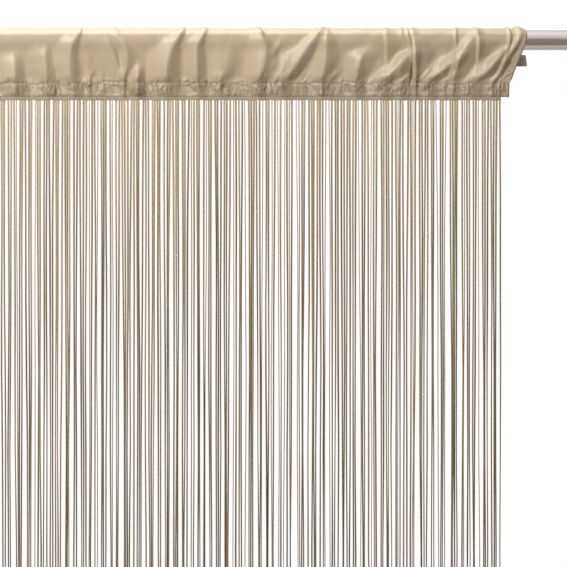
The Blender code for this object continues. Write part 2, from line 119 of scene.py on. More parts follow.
def grid_faces(rows: int, columns: int, closed: bool = False) -> np.ndarray:
    """Quads that join a grid of vertices, where vertex (r, c) has the index r * columns + c.

    Args:
        rows: vertices along the first direction.
        columns: vertices along the second direction.
        closed: also join the last column to the first.

    Returns:
        An array of shape (quads, 4).
    """
    row = np.arange(rows - 1)[:, None] * columns
    column = np.arange(columns if closed else columns - 1)[None, :]
    after = (column + 1) % columns
    above = row + columns
    return np.stack([row + column, above + column, above + after, row + after], axis=-1).reshape(-1, 4)


def tube_faces(rings: int, sides: int, tubes: int = 1) -> list:
    """The faces of closed tubes whose vertices are numbered round each ring, ring by ring and tube by tube.

    Args:
        rings: how many rings each tube has.
        sides: how many vertices each ring has.
        tubes: how many tubes there are.

    Returns:
        The walls of all the tubes and then their ends. They look outwards where the vertices of a ring go
        anticlockwise as seen from the tube's last ring.
    """
    first = np.arange(tubes)[:, None, None] * rings * sides
    walls = grid_faces(rings, sides, closed=True)[:, ::-1] + first
    ends = np.array([range(sides - 1, -1, -1), range((rings - 1) * sides, rings * sides)]) + first
    return [*walls.reshape(-1, 4), *ends.reshape(-1, sides)]


def add_piece(name: str, points: np.ndarray, faces: list, material: bpy.types.Material) -> bpy.types.Object:
    """Make a smooth-shaded mesh object that sits at the origin.

    Args:
        name: the piece's name.
        points: vertices of shape (n, 3), in metres.
        faces: lists or arrays of vertex indices.
        material: the piece's finish.

    Returns:
        The object, linked to the scene.
    """
    mesh = bpy.data.meshes.new(name)
    mesh.from_pydata(points.reshape(-1, 3).tolist(), [], [list(map(int, face)) for face in faces])
    mesh.validate()
    mesh.materials.append(material)
    mesh.shade_smooth()
    piece = bpy.data.objects.new(name, mesh)
    bpy.context.scene.collection.objects.link(piece)
    log.info("%s: %d vertices, %d faces", name, len(mesh.vertices), len(mesh.polygons))
    return piece


def add_point_values(piece: bpy.types.Object, name: str, values: np.ndarray) -> None:
    """Store one number for each vertex under this name, for a material to read."""
    attribute = piece.data.attributes.new(name, "FLOAT", "POINT")
    attribute.data.foreach_set("value", np.ascontiguousarray(values, dtype=np.float32).reshape(-1))


def add_uv(piece: bpy.types.Object, name: str, uv_of_vertices: np.ndarray) -> None:
    """Store a UV map whose value at each face corner is that of the corner's vertex.

    Args:
        piece: the mesh object.
        name: the map's name.
        uv_of_vertices: a pair of numbers for each vertex.
    """
    mesh = piece.data
    corner_vertices = np.empty(len(mesh.loops), dtype=np.int32)
    mesh.loops.foreach_get("vertex_index", corner_vertices)
    layer = mesh.uv_layers.new(name=name)
    uv = uv_of_vertices.reshape(-1, 2)[corner_vertices]
    layer.data.foreach_set("uv", uv.astype(np.float32).reshape(-1))


def add_node(
    tree: bpy.types.NodeTree, kind: str, settings: dict = None, inputs: dict = None
) -> bpy.types.Node:
    """Add one node to a tree.

    Args:
        tree: the material's or world's node tree.
        kind: the node's type name without its ShaderNode prefix.
        settings: the node's own properties, by name.
        inputs: what its input sockets take, by name or place: a socket to link from, or a constant.

    Returns:
        The node.
    """
    node = tree.nodes.new("ShaderNode" + kind)
    for name, value in (settings or {}).items():
        setattr(node, name, value)
    for socket, value in (inputs or {}).items():
        if isinstance(value, bpy.types.NodeSocket):
            tree.links.new(value, node.inputs[socket])
        else:
            node.inputs[socket].default_value = value
    return node


# ---- Finishes ------------------------------------------------------------------------------------
COLOUR_MIX = {"data_type": "RGBA"}  # such a Mix node takes its share at input 0 and its colours at 6 and 7
BANDS = {"wave_type": "BANDS", "bands_direction": "X"}
BAND_SCALE = 0.314  # the scale at which a wave texture has one band a metre


@dataclass(frozen=True)
class Finish:
    """What every finish has: a name and one Principled shader with its typical values."""

    name: str = ""
    surface: tuple = ()  # the shader's constant inputs, as pairs of name and value

    def material(self) -> bpy.types.Material:
        """Build the material, whose shader takes its colour and normal from the finish's own pattern.

        Returns:
            The material.
        """
        material = bpy.data.materials.new(self.name)
        material.use_nodes = True
        tree = material.node_tree
        tree.nodes.clear()
        shader = add_node(tree, "BsdfPrincipled", inputs={**dict(self.surface), **self.pattern(tree)})
        add_node(tree, "OutputMaterial", inputs={"Surface": shader.outputs["BSDF"]})
        return material

    def pattern(self, tree: bpy.types.NodeTree) -> dict:
        """Add the pattern's nodes to the tree and give what they feed the shader, by input name."""
        raise NotImplementedError


@dataclass(frozen=True)
class Sateen(Finish):
    """Polyester sateen for the heading: a satin weave with long floats, which gives a soft broad gloss."""

    name: str = "polyester_sateen"
    surface: tuple = (("Roughness", 0.46), ("IOR", 1.5), ("Sheen Weight", 0.15), ("Sheen Roughness", 0.4))
    colour: str = "#b1a38c"
    warm: str = "#b3a28d"
    cool: str = "#aea38a"
    # painted shade: the colour that the cloth is darkened towards where shade falls in its gathers, grooves
    # and seams
    painted_shade: str = "#6b5c4c"
    weave_pitch: float = 1.3 * MM  # real floats are 0.3 mm apart, drawn coarser so that they show
    slub_length: float = 14.0 * MM
    slub_width: float = 0.9 * MM
    mottle: float = 26.0 * MM
    relief: float = 0.05 * MM

    def pattern(self, tree: bpy.types.NodeTree) -> dict:
        """Mottled beige with slubs along the rod, darkened by painted shade where the cloth lies deep in its
        gathers, grooves and seams, over a crossed weave.

        Args:
            tree: the material's node tree.

        Returns:
            What the nodes feed the shader, by input name.
        """
        cloth = add_node(tree, "UVMap", {"uv_map": "cloth"}).outputs["UV"]
        place = add_node(tree, "TexCoord").outputs["Object"]
        spots = {"Vector": place, "Scale": 1.0 / self.mottle, "Detail": 3.0}
        mottle = add_node(tree, "TexNoise", inputs=spots).outputs["Fac"]
        hue = add_node(tree, "MapRange", inputs={0: mottle, 1: 0.35, 2: 0.65}).outputs[0]
        hues = {0: hue, 6: linear(self.warm), 7: linear(self.cool)}
        base = add_node(tree, "Mix", COLOUR_MIX, hues).outputs[2]
        slub_scale = (1.0 / self.slub_length, 1.0 / self.slub_width, 1.0)
        drawn = add_node(tree, "Mapping", inputs={"Vector": cloth, "Scale": slub_scale}).outputs[0]
        slubs = {"Vector": drawn, "Scale": 1.0, "Detail": 2.0}
        slub = add_node(tree, "TexNoise", inputs=slubs).outputs["Fac"]
        tone = add_node(tree, "MapRange", inputs={0: slub, 1: 0.3, 2: 0.7, 4: 0.5}).outputs[0]
        base = add_node(tree, "Mix", COLOUR_MIX, {0: tone, 6: base, 7: linear(self.colour)}).outputs[2]
        # painted shade, by each vertex's share
        painted_shade_share = add_node(tree, "Attribute", {"attribute_name": "painted_shade_share"}).outputs["Fac"]
        base = add_node(tree, "Mix", COLOUR_MIX, {0: painted_shade_share, 6: base, 7: linear(self.painted_shade)}).outputs[2]
        threads = {}
        for number, angle in enumerate((0.0, math.pi / 2)):
            turn = {"Vector": cloth, "Rotation": (0.0, 0.0, angle)}
            turned = add_node(tree, "Mapping", inputs=turn).outputs[0]
            scale = BAND_SCALE / self.weave_pitch
            thread = {"Vector": turned, "Scale": scale, "Distortion": 0.6, "Detail": 1.0}
            threads[number] = add_node(tree, "TexWave", BANDS, thread).outputs["Fac"]
        weave = add_node(tree, "Math", {"operation": "MULTIPLY"}, threads).outputs[0]
        height = add_node(tree, "Math", {"operation": "ADD"}, {0: weave, 1: slub}).outputs[0]
        bump = add_node(tree, "Bump", inputs={"Height": height, "Strength": 0.35, "Distance": self.relief})
        return {"Base Color": base, "Normal": bump.outputs[0]}


@dataclass(frozen=True)
class TwistedYarn(Finish):
    """Spun polyester yarn for the strings: plied and matt, so each is soft with a fine diagonal twist."""

    name: str = "polyester_yarn"
    surface: tuple = (("Roughness", 0.78), ("IOR", 1.48), ("Sheen Weight", 0.25), ("Sheen Roughness", 0.5))
    light: str = "#c8b28d"
    shade: str = "#6a563e"
    green_cast: str = "#a29975"
    warm_cast: str = "#b39474"
    cast_share: float = 0.35
    twist_pitch: float = 4.5 * MM  # the real twist is 1.5 mm, drawn coarser so that it shows
    ply_furrow_shade: float = 0.90  # painted shade in the furrow between two plies, 1 on a ply
    relief: float = 0.12 * MM
    fleck: float = 2.2 * MM
    fleck_tones: tuple = (0.86, 1.06)

    def pattern(self, tree: bpy.types.NodeTree) -> dict:
        """A tone and a cast for each yarn, a diagonal twist with painted shade in its furrows, and small
        flecks along it.

        Args:
            tree: the material's node tree.

        Returns:
            What the nodes feed the shader, by input name.
        """
        # each yarn's tone: random, and darker towards its foot by painted shade
        tone = add_node(tree, "Attribute", {"attribute_name": "tone"}).outputs["Fac"]
        cast = add_node(tree, "Attribute", {"attribute_name": "cast"}).outputs["Fac"]
        tones = {0: tone, 6: linear(self.shade), 7: linear(self.light)}
        base = add_node(tree, "Mix", COLOUR_MIX, tones).outputs[2]
        casts = {0: cast, 6: linear(self.green_cast), 7: linear(self.warm_cast)}
        tint = add_node(tree, "Mix", COLOUR_MIX, casts).outputs[2]
        base = add_node(tree, "Mix", COLOUR_MIX, {0: self.cast_share, 6: base, 7: tint}).outputs[2]
        along = add_node(tree, "UVMap", {"uv_map": "yarn"}).outputs["UV"]
        split = add_node(tree, "SeparateXYZ", inputs={"Vector": along}).outputs
        run = {0: split["Y"], 1: 1.0 / self.twist_pitch, 2: split["X"]}
        turns = add_node(tree, "Math", {"operation": "MULTIPLY_ADD"}, run).outputs[0]
        phase = add_node(tree, "Math", {"operation": "MULTIPLY"}, {0: turns, 1: 2 * math.pi}).outputs[0]
        twist = add_node(tree, "Math", {"operation": "SINE"}, {0: phase}).outputs[0]
        # painted shade in the furrows between the plies
        plies = {0: twist, 1: -1.0, 2: 1.0, 3: self.ply_furrow_shade, 4: 1.0}
        ply = add_node(tree, "MapRange", inputs=plies).outputs[0]
        place = add_node(tree, "TexCoord").outputs["Object"]
        flecks = {"Vector": place, "Scale": 1.0 / self.fleck, "Detail": 1.0}
        fleck = add_node(tree, "TexNoise", inputs=flecks).outputs["Fac"]
        low, high = self.fleck_tones
        spots = {0: fleck, 1: 0.3, 2: 0.7, 3: low, 4: high}
        spot = add_node(tree, "MapRange", inputs=spots).outputs[0]
        factor = add_node(tree, "Math", {"operation": "MULTIPLY"}, {0: ply, 1: spot}).outputs[0]
        grey = add_node(tree, "CombineColor", inputs={0: factor, 1: factor, 2: factor}).outputs[0]
        multiply = {**COLOUR_MIX, "blend_type": "MULTIPLY"}
        base = add_node(tree, "Mix", multiply, {0: 1.0, 6: base, 7: grey}).outputs[2]
        bump = add_node(tree, "Bump", inputs={"Height": twist, "Strength": 0.5, "Distance": self.relief})
        return {"Base Color": base, "Normal": bump.outputs[0]}


@dataclass(frozen=True)
class WovenTape(Finish):
    """Woven polyester for the fringe's head and the sewing thread: matt, ribbed, duller than the cloth."""

    name: str = "woven_tape"
    surface: tuple = (("Roughness", 0.8), ("Sheen Weight", 0.2))
    colour: str = "#a89c88"
    shade: str = "#85786a"
    rib_pitch: float = 1.5 * MM
    relief: float = 0.15 * MM

    def pattern(self, tree: bpy.types.NodeTree) -> dict:
        """Close uneven ribs across the tape, in tone and bump.

        Args:
            tree: the material's node tree.

        Returns:
            What the nodes feed the shader, by input name.
        """
        place = add_node(tree, "TexCoord").outputs["Object"]
        rib = {"Vector": place, "Scale": BAND_SCALE / self.rib_pitch, "Distortion": 1.5, "Detail": 2.0}
        wave = add_node(tree, "TexWave", BANDS, {**rib, "Detail Scale": 2.0}).outputs["Fac"]
        base = add_node(tree, "Mix", COLOUR_MIX, {0: wave, 6: linear(self.shade), 7: linear(self.colour)})
        bump = add_node(tree, "Bump", inputs={"Height": wave, "Strength": 0.5, "Distance": self.relief})
        return {"Base Color": base.outputs[2], "Normal": bump.outputs[0]}


@dataclass(frozen=True)
class GrainedFinish(Finish):
    """A finish in which one noise gives both the change of tone and a shallow relief."""

    colour: str = ""
    other: str = ""
    grain: tuple = ()  # metres of one grain along x, y and z
    detail: float = 2.0
    tones: tuple = ()  # noise values at which the other colour starts and is at its most
    most: float = 1.0  # share of the other colour at its most
    relief: tuple = (0.3, 0.05 * MM)  # the bump's strength and height

    def pattern(self, tree: bpy.types.NodeTree) -> dict:
        """The noise on Object coordinates, stretched by the grain.

        Args:
            tree: the material's node tree.

        Returns:
            What the nodes feed the shader, by input name.
        """
        place = add_node(tree, "TexCoord").outputs["Object"]
        scale = tuple(1.0 / length for length in self.grain)
        drawn = add_node(tree, "Mapping", inputs={"Vector": place, "Scale": scale}).outputs[0]
        noise_inputs = {"Vector": drawn, "Scale": 1.0, "Detail": self.detail}
        noise = add_node(tree, "TexNoise", inputs=noise_inputs).outputs["Fac"]
        low, high = self.tones
        share = add_node(tree, "MapRange", inputs={0: noise, 1: low, 2: high, 4: self.most}).outputs[0]
        base = add_node(tree, "Mix", COLOUR_MIX, {0: share, 6: linear(self.colour), 7: linear(self.other)})
        strength, height = self.relief
        bump = add_node(tree, "Bump", inputs={"Height": noise, "Strength": strength, "Distance": height})
        return {"Base Color": base.outputs[2], "Normal": bump.outputs[0]}


@dataclass(frozen=True)
class SatinSteel(GrainedFinish):
    """Brushed and satin-lacquered steel tube: metal with a broad soft highlight and faint lines along it."""

    name: str = "satin_steel"
    surface: tuple = (("Metallic", 1.0), ("Roughness", 0.2))
    colour: str = "#e4dedc"
    other: str = "#f0ebe9"
    grain: tuple = (60.0 * MM, 0.8 * MM, 0.8 * MM)  # real brush lines are far finer, drawn coarser to show
    detail: float = 3.0
    tones: tuple = (0.35, 0.65)
    relief: tuple = (0.15, 0.02 * MM)


@dataclass(frozen=True)
class DarkLacquer(GrainedFinish):
    """Baked lacquer on the brackets' steel: dark brown-grey, satin, with a faint orange-peel grain."""

    name: str = "dark_lacquer"
    surface: tuple = (("Metallic", 0.3), ("Roughness", 0.42))
    colour: str = "#4d4540"
    other: str = "#6b625b"
    grain: tuple = (1.6 * MM,) * 3
    detail: float = 4.0
    tones: tuple = (0.45, 0.8)


@dataclass(frozen=True)
class MouldedPlastic(GrainedFinish):
    """Injection-moulded ABS for the knobs: warm grey and half matt, with a fine spark-eroded texture."""

    name: str = "moulded_plastic"
    surface: tuple = (("Roughness", 0.45), ("IOR", 1.53))
    colour: str = "#b0a59b"
    other: str = "#c0b5aa"
    grain: tuple = (0.9 * MM,) * 3
    tones: tuple = (0.4, 0.7)


@dataclass(frozen=True)
class PaleFloor(GrainedFinish):
    """Matt painted floor: a pale even grey with a trace of mottle, close to the background in brightness."""

    name: str = "pale_floor"
    surface: tuple = (("Roughness", 0.9),)
    colour: str = "#c2c0bd"
    other: str = "#cdcbc8"
    grain: tuple = (1.0 / 3.0,) * 3
    tones: tuple = (0.3, 0.7)
    most: float = 0.3
    relief: tuple = (0.0, 0.05 * MM)  # flat


# ---- The heading's creases -----------------------------------------------------------------------
class Knot(NamedTuple):
    """One place on a crease's line, in mm from the curtain's middle and from the rod's axis."""

    x: float
    z: float
    left: float  # how far the flank on the left of the line reaches
    right: float  # how far the flank on its right reaches
    height: float  # how far the line stands out, or in where it is negative


class Crease(NamedTuple):
    """One crease of the pocket's front: a line of knots from top to foot, and how round its crest is."""

    knots: tuple
    crest: float = 0.07


def crease(*rows: tuple, crest: float = 0.07) -> Crease:
    """A crease from rows of (x, z, left, right, height), listed from its top to its foot."""
    return Crease(tuple(Knot(*row) for row in rows), crest)


CREASES = (
    # the left end, drawn up towards the end of the rod
    crease((-436, -4, 5, 6, 0.4), (-428, -14, 6, 8, 1.8), (-418, -28, 7, 9, 2.4), (-410, -42, 6, 6, 1.2)),
    crease((-404, 0, 8, 8, 0), (-396, -8, 9, 11, 2.6), (-386, -20, 10, 12, 3.8), (-376, -34, 10, 11, 3.6),
           (-366, -47, 7, 7, 1.0)),
    crease((-380, 11.4, 2.5, 1.5, 0.3), (-380, 4, 3, 3, 1.2), (-380, -8, 3, 3, 0.6),
           (-380, -14, 3, 3, 0)),
    crease((-356, 2, 8, 8, 0), (-347, -8, 9, 11, 2.6), (-336, -22, 10, 12, 3.8), (-324, -36, 10, 11, 3.6),
           (-314, -48, 7, 7, 1.0)),
    crease((-331, 11.4, 2.5, 1.5, 0.36), (-331, 4, 3, 2.4, 1.3), (-332, -10, 3, 2.4, 0.9),
           (-332, -18, 3, 3, 0)),
    crease((-306, 10.5, 6, 1.8, 0.66), (-303, -4, 12, 6, 2.2), (-299, -20, 20, 9, 3.6),
           (-297, -38, 18, 10, 3.6), (-296, -50, 9, 8, 1.0)),
    # the left-hand stretch, where the creases hang straight
    crease((-272, -6, 16, 5, 0), (-270, -18, 18, 8, 2.4), (-267, -36, 18, 9, 3.0),
           (-266, -50, 8, 8, 0.8)),
    crease((-231, 10.5, 6, 1.8, 0.66), (-236, 0, 12, 5, 2.0), (-241, -14, 22, 9, 3.6),
           (-243, -34, 20, 11, 3.8), (-242, -48, 10, 9, 1.4)),
    crease((-201, -8, 18, 6, 0), (-201, -20, 20, 8, 2.6), (-201, -38, 20, 9, 3.0),
           (-200, -52, 8, 8, 0.9)),
    crease((-163, 10, 6, 1.8, 0.66), (-167, -2, 14, 6, 2.0), (-170, -16, 22, 9, 3.6),
           (-171, -34, 22, 11, 3.8), (-170, -48, 10, 9, 1.4)),
    crease((-130, -8, 18, 6, 0), (-129, -20, 20, 8, 2.4), (-129, -36, 20, 9, 3.0),
           (-128, -50, 9, 8, 1.0)),
    crease((-96, 4, 16, 4, 0.4), (-98, -8, 20, 8, 2.6), (-97, -24, 22, 9, 3.6), (-94, -40, 18, 10, 3.2),
           (-92, -52, 9, 8, 1.0)),
    crease((-62.5, -12, 22, 7, 0), (-62, -22, 24, 8, 2.2), (-62, -38, 24, 11, 3.8),
           (-62, -48, 18, 12, 3.6), (-62, -57, 10, 10, 2.0)),
    crease((-42, -4, 6, 3, 0), (-38, -10, 6, 3, 0.7), (-34, -16, 6, 3, 0)),
    crease((-30, -4, 20, 3, 0), (-32, -14, 22, 7, 2.6), (-31, -30, 20, 9, 3.4), (-29, -45, 14, 10, 2.8),
           (-28, -56, 8, 8, 0.9)),
    # the middle, where they begin to bend
    crease((4.5, 10, 8, 1.8, 0.66), (-1, 2, 12, 4, 2.0), (-6.5, -8, 18, 8, 3.0), (-7.8, -24, 20, 10, 3.6),
           (-7, -38, 18, 10.5, 3.4), (-2, -46, 12, 7, 2.4), (2, -56, 6, 5, 0.8)),
    crease((17, -27, 5, 3, 0), (14, -34, 6, 3, 1.0), (11.5, -44, 5, 3.5, 1.2), (11, -55, 4, 3, 0.5)),
    crease((30.5, 2, 14, 3, 0), (33, -4, 18, 4, 1.3), (37, -14, 20, 4.5, 1.9), (41, -27, 20, 4.5, 2.0),
           (44, -41, 14, 4, 1.4), (46, -50, 5, 3, 0)),
    crease((38, 10, 5, 1.5, 0.54), (44, 1, 6, 4, 1.9), (48.5, -7, 6, 8, 3.0), (50.2, -14, 7, 10, 3.6),
           (50.5, -24, 7, 8, 3.2), (48.5, -34, 7, 5, 2.4), (47, -43, 5, 3.5, 1.4), (46, -54, 4, 3, 0.6)),
    crease((64, -24, 6, 4, 0), (61.5, -31, 9, 6, 2.2), (60, -40, 10, 9, 4.6), (60, -46, 10, 10, 5.4),
           (60, -52, 8, 10, 4.8), (61, -57, 6, 7, 2.4)),
    crease((108, 11.5, 7, 1.8, 0.78), (102.5, 4, 9, 4, 2.2), (97.5, -4, 16, 5, 2.6),
           (94.5, -10, 22, 9, 3.6), (90.5, -25, 24, 13, 4.4), (88.8, -40, 22, 15, 4.2),
           (89, -50, 12, 12, 2.0), (89, -57, 6, 8, 0.8)),
    crease((129.5, 10, 6, 1.8, 0.66), (124.5, 3, 8, 4, 2.2), (120.5, -4, 12, 6, 2.6),
           (119.3, -12, 12, 9, 3.4), (119.2, -30, 12, 11, 3.8), (119.5, -42, 11, 10.5, 3.4),
           (124, -50, 7, 5, 1.6), (128, -57, 4, 4, 0.6)),
    crease((153, 0, 16, 10, 0), (152.5, -10, 18, 12, 1.6), (151.5, -22, 20, 12, 2.6),
           (148, -34, 18, 10, 3.2), (141, -46, 10, 6, 2.0), (137, -54, 6, 5, 0.6), crest=0.2),
    crease((181.5, 11.5, 8, 1.8, 0.78), (185.5, 3, 12, 5, 2.8), (189, -6, 18, 9, 3.6),
           (189.3, -13, 20, 13, 4.6), (188, -22, 20, 14, 5.0), (183.5, -35, 18, 12, 4.8),
           (181, -44, 12, 10, 3.6), (181, -55, 8, 9, 1.8)),
    crease((204, -2, 6, 2.5, 0), (201.5, -6, 7, 3, 1.4), (197.5, -12, 6, 3, 0.8), (194, -16, 4, 3, 0)),
    # the right-hand stretch, where they run up to the right
    crease((247, 11.5, 5, 2.1, 0.84), (240, 5, 6, 5, 2.4), (234, -2, 9, 8, 2.8), (229, -10, 18, 9, 3.8),
           (220, -23, 22, 9.5, 4.4), (211, -36, 20, 9, 4.2), (203, -46, 12, 7, 2.4),
           (198, -54, 6, 5, 0.6), crest=0.04),
    crease((250, 9, 5, 3, 0.36), (249.8, 3, 8, 9, 2.2), (249.5, -8, 10, 13, 3.2),
           (248.5, -22, 13, 14, 4.0), (246, -35, 16, 12, 3.8), (244, -44, 12, 6, 3.0),
           (245, -51, 7, 3.5, 2.4), (246, -57, 4, 3, 1.2)),
    crease((262, -29, 4, 4, 0), (257, -36, 5, 4, 1.4), (251, -44, 5, 4, 1.4), (247, -50, 4, 3, 0.3)),
    crease((298, -5, 10, 7, 0), (289, -11, 12, 11, 2.4), (284, -17, 14, 16, 3.8), (281, -28, 14, 15, 4.4),
           (279, -42, 11, 9, 3.0), (276, -52, 6, 5, 0.8), crest=0.04),
    crease((308, 11.2, 1.8, 4, 0.5), (308.5, 4, 1.8, 13, 1.9), (309.3, -6, 1.8, 15, 2.2),
           (309.8, -15, 1.8, 8, 1.7), (309.8, -24, 2, 3, 0.6), (310, -29, 2, 2, 0), crest=0.1),
    crease((324, 11.2, 2, 2, 0.7), (324.5, 7, 2.5, 2.5, 0.6), (325, 3, 3, 3, 0)),
    crease((337, -7, 9, 6, 0), (333.5, -13, 10, 10, 3.0), (322, -25, 11, 13, 4.2),
           (313.5, -34, 11, 13, 4.4), (303, -43, 9, 9, 2.8), (297, -52, 6, 5, 0.6), crest=0.04),
    crease((334, -31, 4, 5, 0), (328.5, -38, 4.5, 6, 2.0), (321, -45.5, 4.5, 6, 1.8),
           (316, -52, 4, 5, 0.4)),
    crease((329.5, 10, 2, 1.6, 0.4), (331.5, 4, 1.8, 1.6, 1.1), (333, -4, 1.8, 1.6, 1.5),
           (334.4, -13, 1.8, 1.6, 1.4), (334.6, -24, 2, 2, 0.8), (334.6, -32, 2, 2, 0), crest=0.15),
    crease((335, 8, 1.6, 5, 0.5), (336.6, 0, 1.6, 14, 2.8), (337.4, -12, 1.8, 22, 5.4),
           (338.4, -24, 2.6, 15, 5.0), (338.2, -36, 3.5, 5, 3.2), (337.5, -50, 3, 3, 1.4)),
    crease((335, -18, 1.4, 1.4, 0), (334.6, -30, 1.6, 1.6, -2.4), (334.6, -40, 2.2, 2.2, -4.2),
           (334.8, -57, 2.4, 2.4, -4.2)),
    crease((389, -9, 10, 6, 0), (384, -15, 13, 7, 2.2), (372, -25, 15, 7, 4.2), (358, -36, 13, 8, 4.2),
           (348, -45, 9, 7, 2.6), (342, -52, 5, 4, 0.5), crest=0.04),
    crease((358, -27, 1.4, 1.4, 0), (354.7, -30.7, 1.6, 1.6, -0.7), (346.6, -40.3, 1.6, 1.6, -0.8),
           (342, -46, 1.4, 1.4, 0)),
    crease((376, -29, 4, 4, 0), (371, -38, 4.5, 6, 1.8), (366, -46, 4, 5, 1.2), (363, -52, 4, 4, 0.2)),
    crease((378.5, 11.4, 1.6, 1.8, 0.6), (378.5, 4, 1.6, 2.4, 1.0), (378.5, -3, 1.6, 2.4, 1.0),
           (380, -14, 1.8, 1.8, 0.6), (380, -20, 1.8, 1.8, 0), crest=0.1),
    crease((401, 9, 8, 5, 0.3), (396, 2, 10, 9, 1.8), (390, -6, 10, 14, 3.0), (384.5, -13, 9, 16, 3.8),
           (381.4, -22.4, 6, 16, 4.2), (377.6, -35, 6, 13, 3.4), (375, -46, 5, 6, 1.0), crest=0.04),
    crease((397, 11.4, 1.6, 2, 0.6), (400, 6, 1.6, 12, 2.0), (401.3, -1, 1.6, 24, 3.6),
           (401.3, -10, 1.6, 20, 4.0), (400.6, -19, 1.8, 8, 2.2), (402, -26, 2, 5, 0.2)),
    crease((436, -4, 8, 6, 0), (429, -10, 11, 8, 2.4), (423.3, -19.6, 13, 10, 4.2),
           (414.7, -27, 13, 10, 4.4), (406.6, -34.5, 10, 10, 3.8), (399, -40, 8, 7, 2.2),
           (389, -47, 5, 5, 0.8), crest=0.04),
    crease((432.5, 11.4, 2.4, 1.8, 0.7), (433, 5, 2.6, 2.4, 1.5), (433, -4, 2.6, 2.4, 1.3),
           (432.5, -10, 2.6, 2.4, 0.3), crest=0.1),
    crease((444, 6, 4, 4, 0.8), (441, -2, 4.5, 4, 1.6), (438.5, -10, 4.5, 4, 1.9),
           (434.5, -19, 5, 4.5, 2.1), (427.5, -35, 6, 5, 2.1), (418.5, -43, 6, 5, 1.6),
           (412, -50, 5, 4, 0.4)),
)


@dataclass
class CreaseField:
    """All the creases added together, as one height over the pocket's front. Lengths are in mm."""

    creases: tuple = CREASES
    bend: float = 3.0  # length of line over which a knot's corner is rounded
    base: float = 2.2  # the creases' mean height, which is taken off again
    base_rise: tuple = (-2.0, 14.0)  # drop from which it is taken off, and over what height
    scale: float = 1.85
    right_scale: float = 2.05  # where they run up to the right
    right_rise: tuple = (275.0, 60.0)  # where that starts, and over what length

    def height(self, x: np.ndarray, z: np.ndarray) -> np.ndarray:
        """How far the cloth stands out of its plain hang.

        Each crease is a tent across its line: it rises evenly from the left flank's foot to the line and
        falls evenly to the right flank's foot, with the crest and the feet rounded by soft minimum and
        maximum. The distance across is measured square to the line.

        Args:
            x: places along the rod, in metres.
            z: heights above the rod's axis, in metres.

        Returns:
            Heights in metres, positive towards the room.
        """
        x_mm = x / MM
        z_mm = z / MM
        total = np.zeros(np.broadcast(x_mm, z_mm).shape)
        for knots, crest in self.creases:
            places, levels, lefts, rights, heights = np.array(knots)[::-1].T
            line = self.rounded(z_mm, levels, places)
            step = self.rounded(z_mm + 1.0, levels, places) - line
            across = (x_mm - line) / np.sqrt(1.0 + step * step)
            left = 1.0 + across / np.interp(z_mm, levels, lefts)
            right = 1.0 - across / np.interp(z_mm, levels, rights)
            roof = -crest * np.logaddexp(-left / crest, -right / crest)
            tent = crest * np.logaddexp(roof / crest, 0.0)
            total = total + self.rounded(z_mm, levels, heights) * tent
        base = self.base * rise(-z_mm, *self.base_rise)
        scale = self.scale + (self.right_scale - self.scale) * rise(x_mm, *self.right_rise)
        return (total * scale - base) * MM

    def rounded(self, z: np.ndarray, heights: np.ndarray, values: np.ndarray) -> np.ndarray:
        """Values between knots, joined by straight lines whose corners are averaged over the bend.

        Args:
            z: where the values are wanted.
            heights: the knots' heights, from the lowest up.
            values: the knots' values.

        Returns:
            A value for each z.
        """
        above = np.interp(z + self.bend, heights, values)
        below = np.interp(z - self.bend, heights, values)
        return (above + 2.0 * np.interp(z, heights, values) + below) / 4.0


# ---- The heading ---------------------------------------------------------------------------------
@dataclass
class Gathers:
    """The puckers that the ruching leaves along the seam: round pillows between narrow grooves."""

    seed: int
    spacing: tuple  # mm between grooves, least and most
    heights: tuple  # mm, least and most
    roundness: float = 2.4
    run_out: tuple = (1.5, 12.0)  # mm above the seam over which a pillow fades
    narrowness: int = 5  # of the grooves
    span: float = 0.480  # metres to each side of the middle
    draws: int = 2000  # more than enough grooves for the span
    grooves: np.ndarray = field(init=False)
    pillow_heights: np.ndarray = field(init=False)
    pillow_runs: np.ndarray = field(init=False)
    pit_depths: np.ndarray = field(init=False)

    def __post_init__(self) -> None:
        """Draw the grooves' places and the pillows' heights and run-outs."""
        draw = np.random.default_rng(self.seed)
        places = np.cumsum(draw.uniform(*self.spacing, self.draws) * MM) - self.span
        self.grooves = places[places < self.span]
        count = len(self.grooves) + 1
        self.pillow_heights = draw.uniform(*self.heights, count) * MM
        self.pillow_runs = draw.uniform(*self.run_out, count)
        self.pit_depths = draw.uniform(0.0, 1.0, count) ** 2

    def pillows(self, x: np.ndarray) -> tuple:
        """The puckers across x.

        Between two grooves at t = -1 and t = 1 the height is the pillow's own times 1 - |t| ** roundness.

        Args:
            x: places along the rod, in metres.

        Returns:
            (heights in metres, closeness to a groove in 0..1, run-out in mm, pit share in 0..1).
        """
        cell = np.clip(np.searchsorted(self.grooves, x), 1, len(self.grooves) - 1)
        before = self.grooves[cell - 1]
        after = self.grooves[cell]
        place = np.clip(2.0 * (x - before) / (after - before) - 1.0, -1.0, 1.0)
        heights = self.pillow_heights[cell] * (1.0 - np.abs(place) ** self.roundness)
        nearest = np.where(place > 0, cell, cell - 1)
        return heights, np.abs(place) ** self.narrowness, self.pillow_runs[cell], self.pit_depths[nearest]


class Dent(NamedTuple):
    """Something that the sewing presses into the cloth, with a bell-shaped section upwards, and the painted
    shade at its bottom.
    """

    depth: float  # mm
    spread: float  # mm up and down
    painted_shade_share: float  # painted shade share at its bottom

    def bell(self, away: np.ndarray) -> np.ndarray:
        """1 at its middle and exp(-1) one spread away, for distances in mm."""
        return np.exp(-((away / self.spread) ** 2))


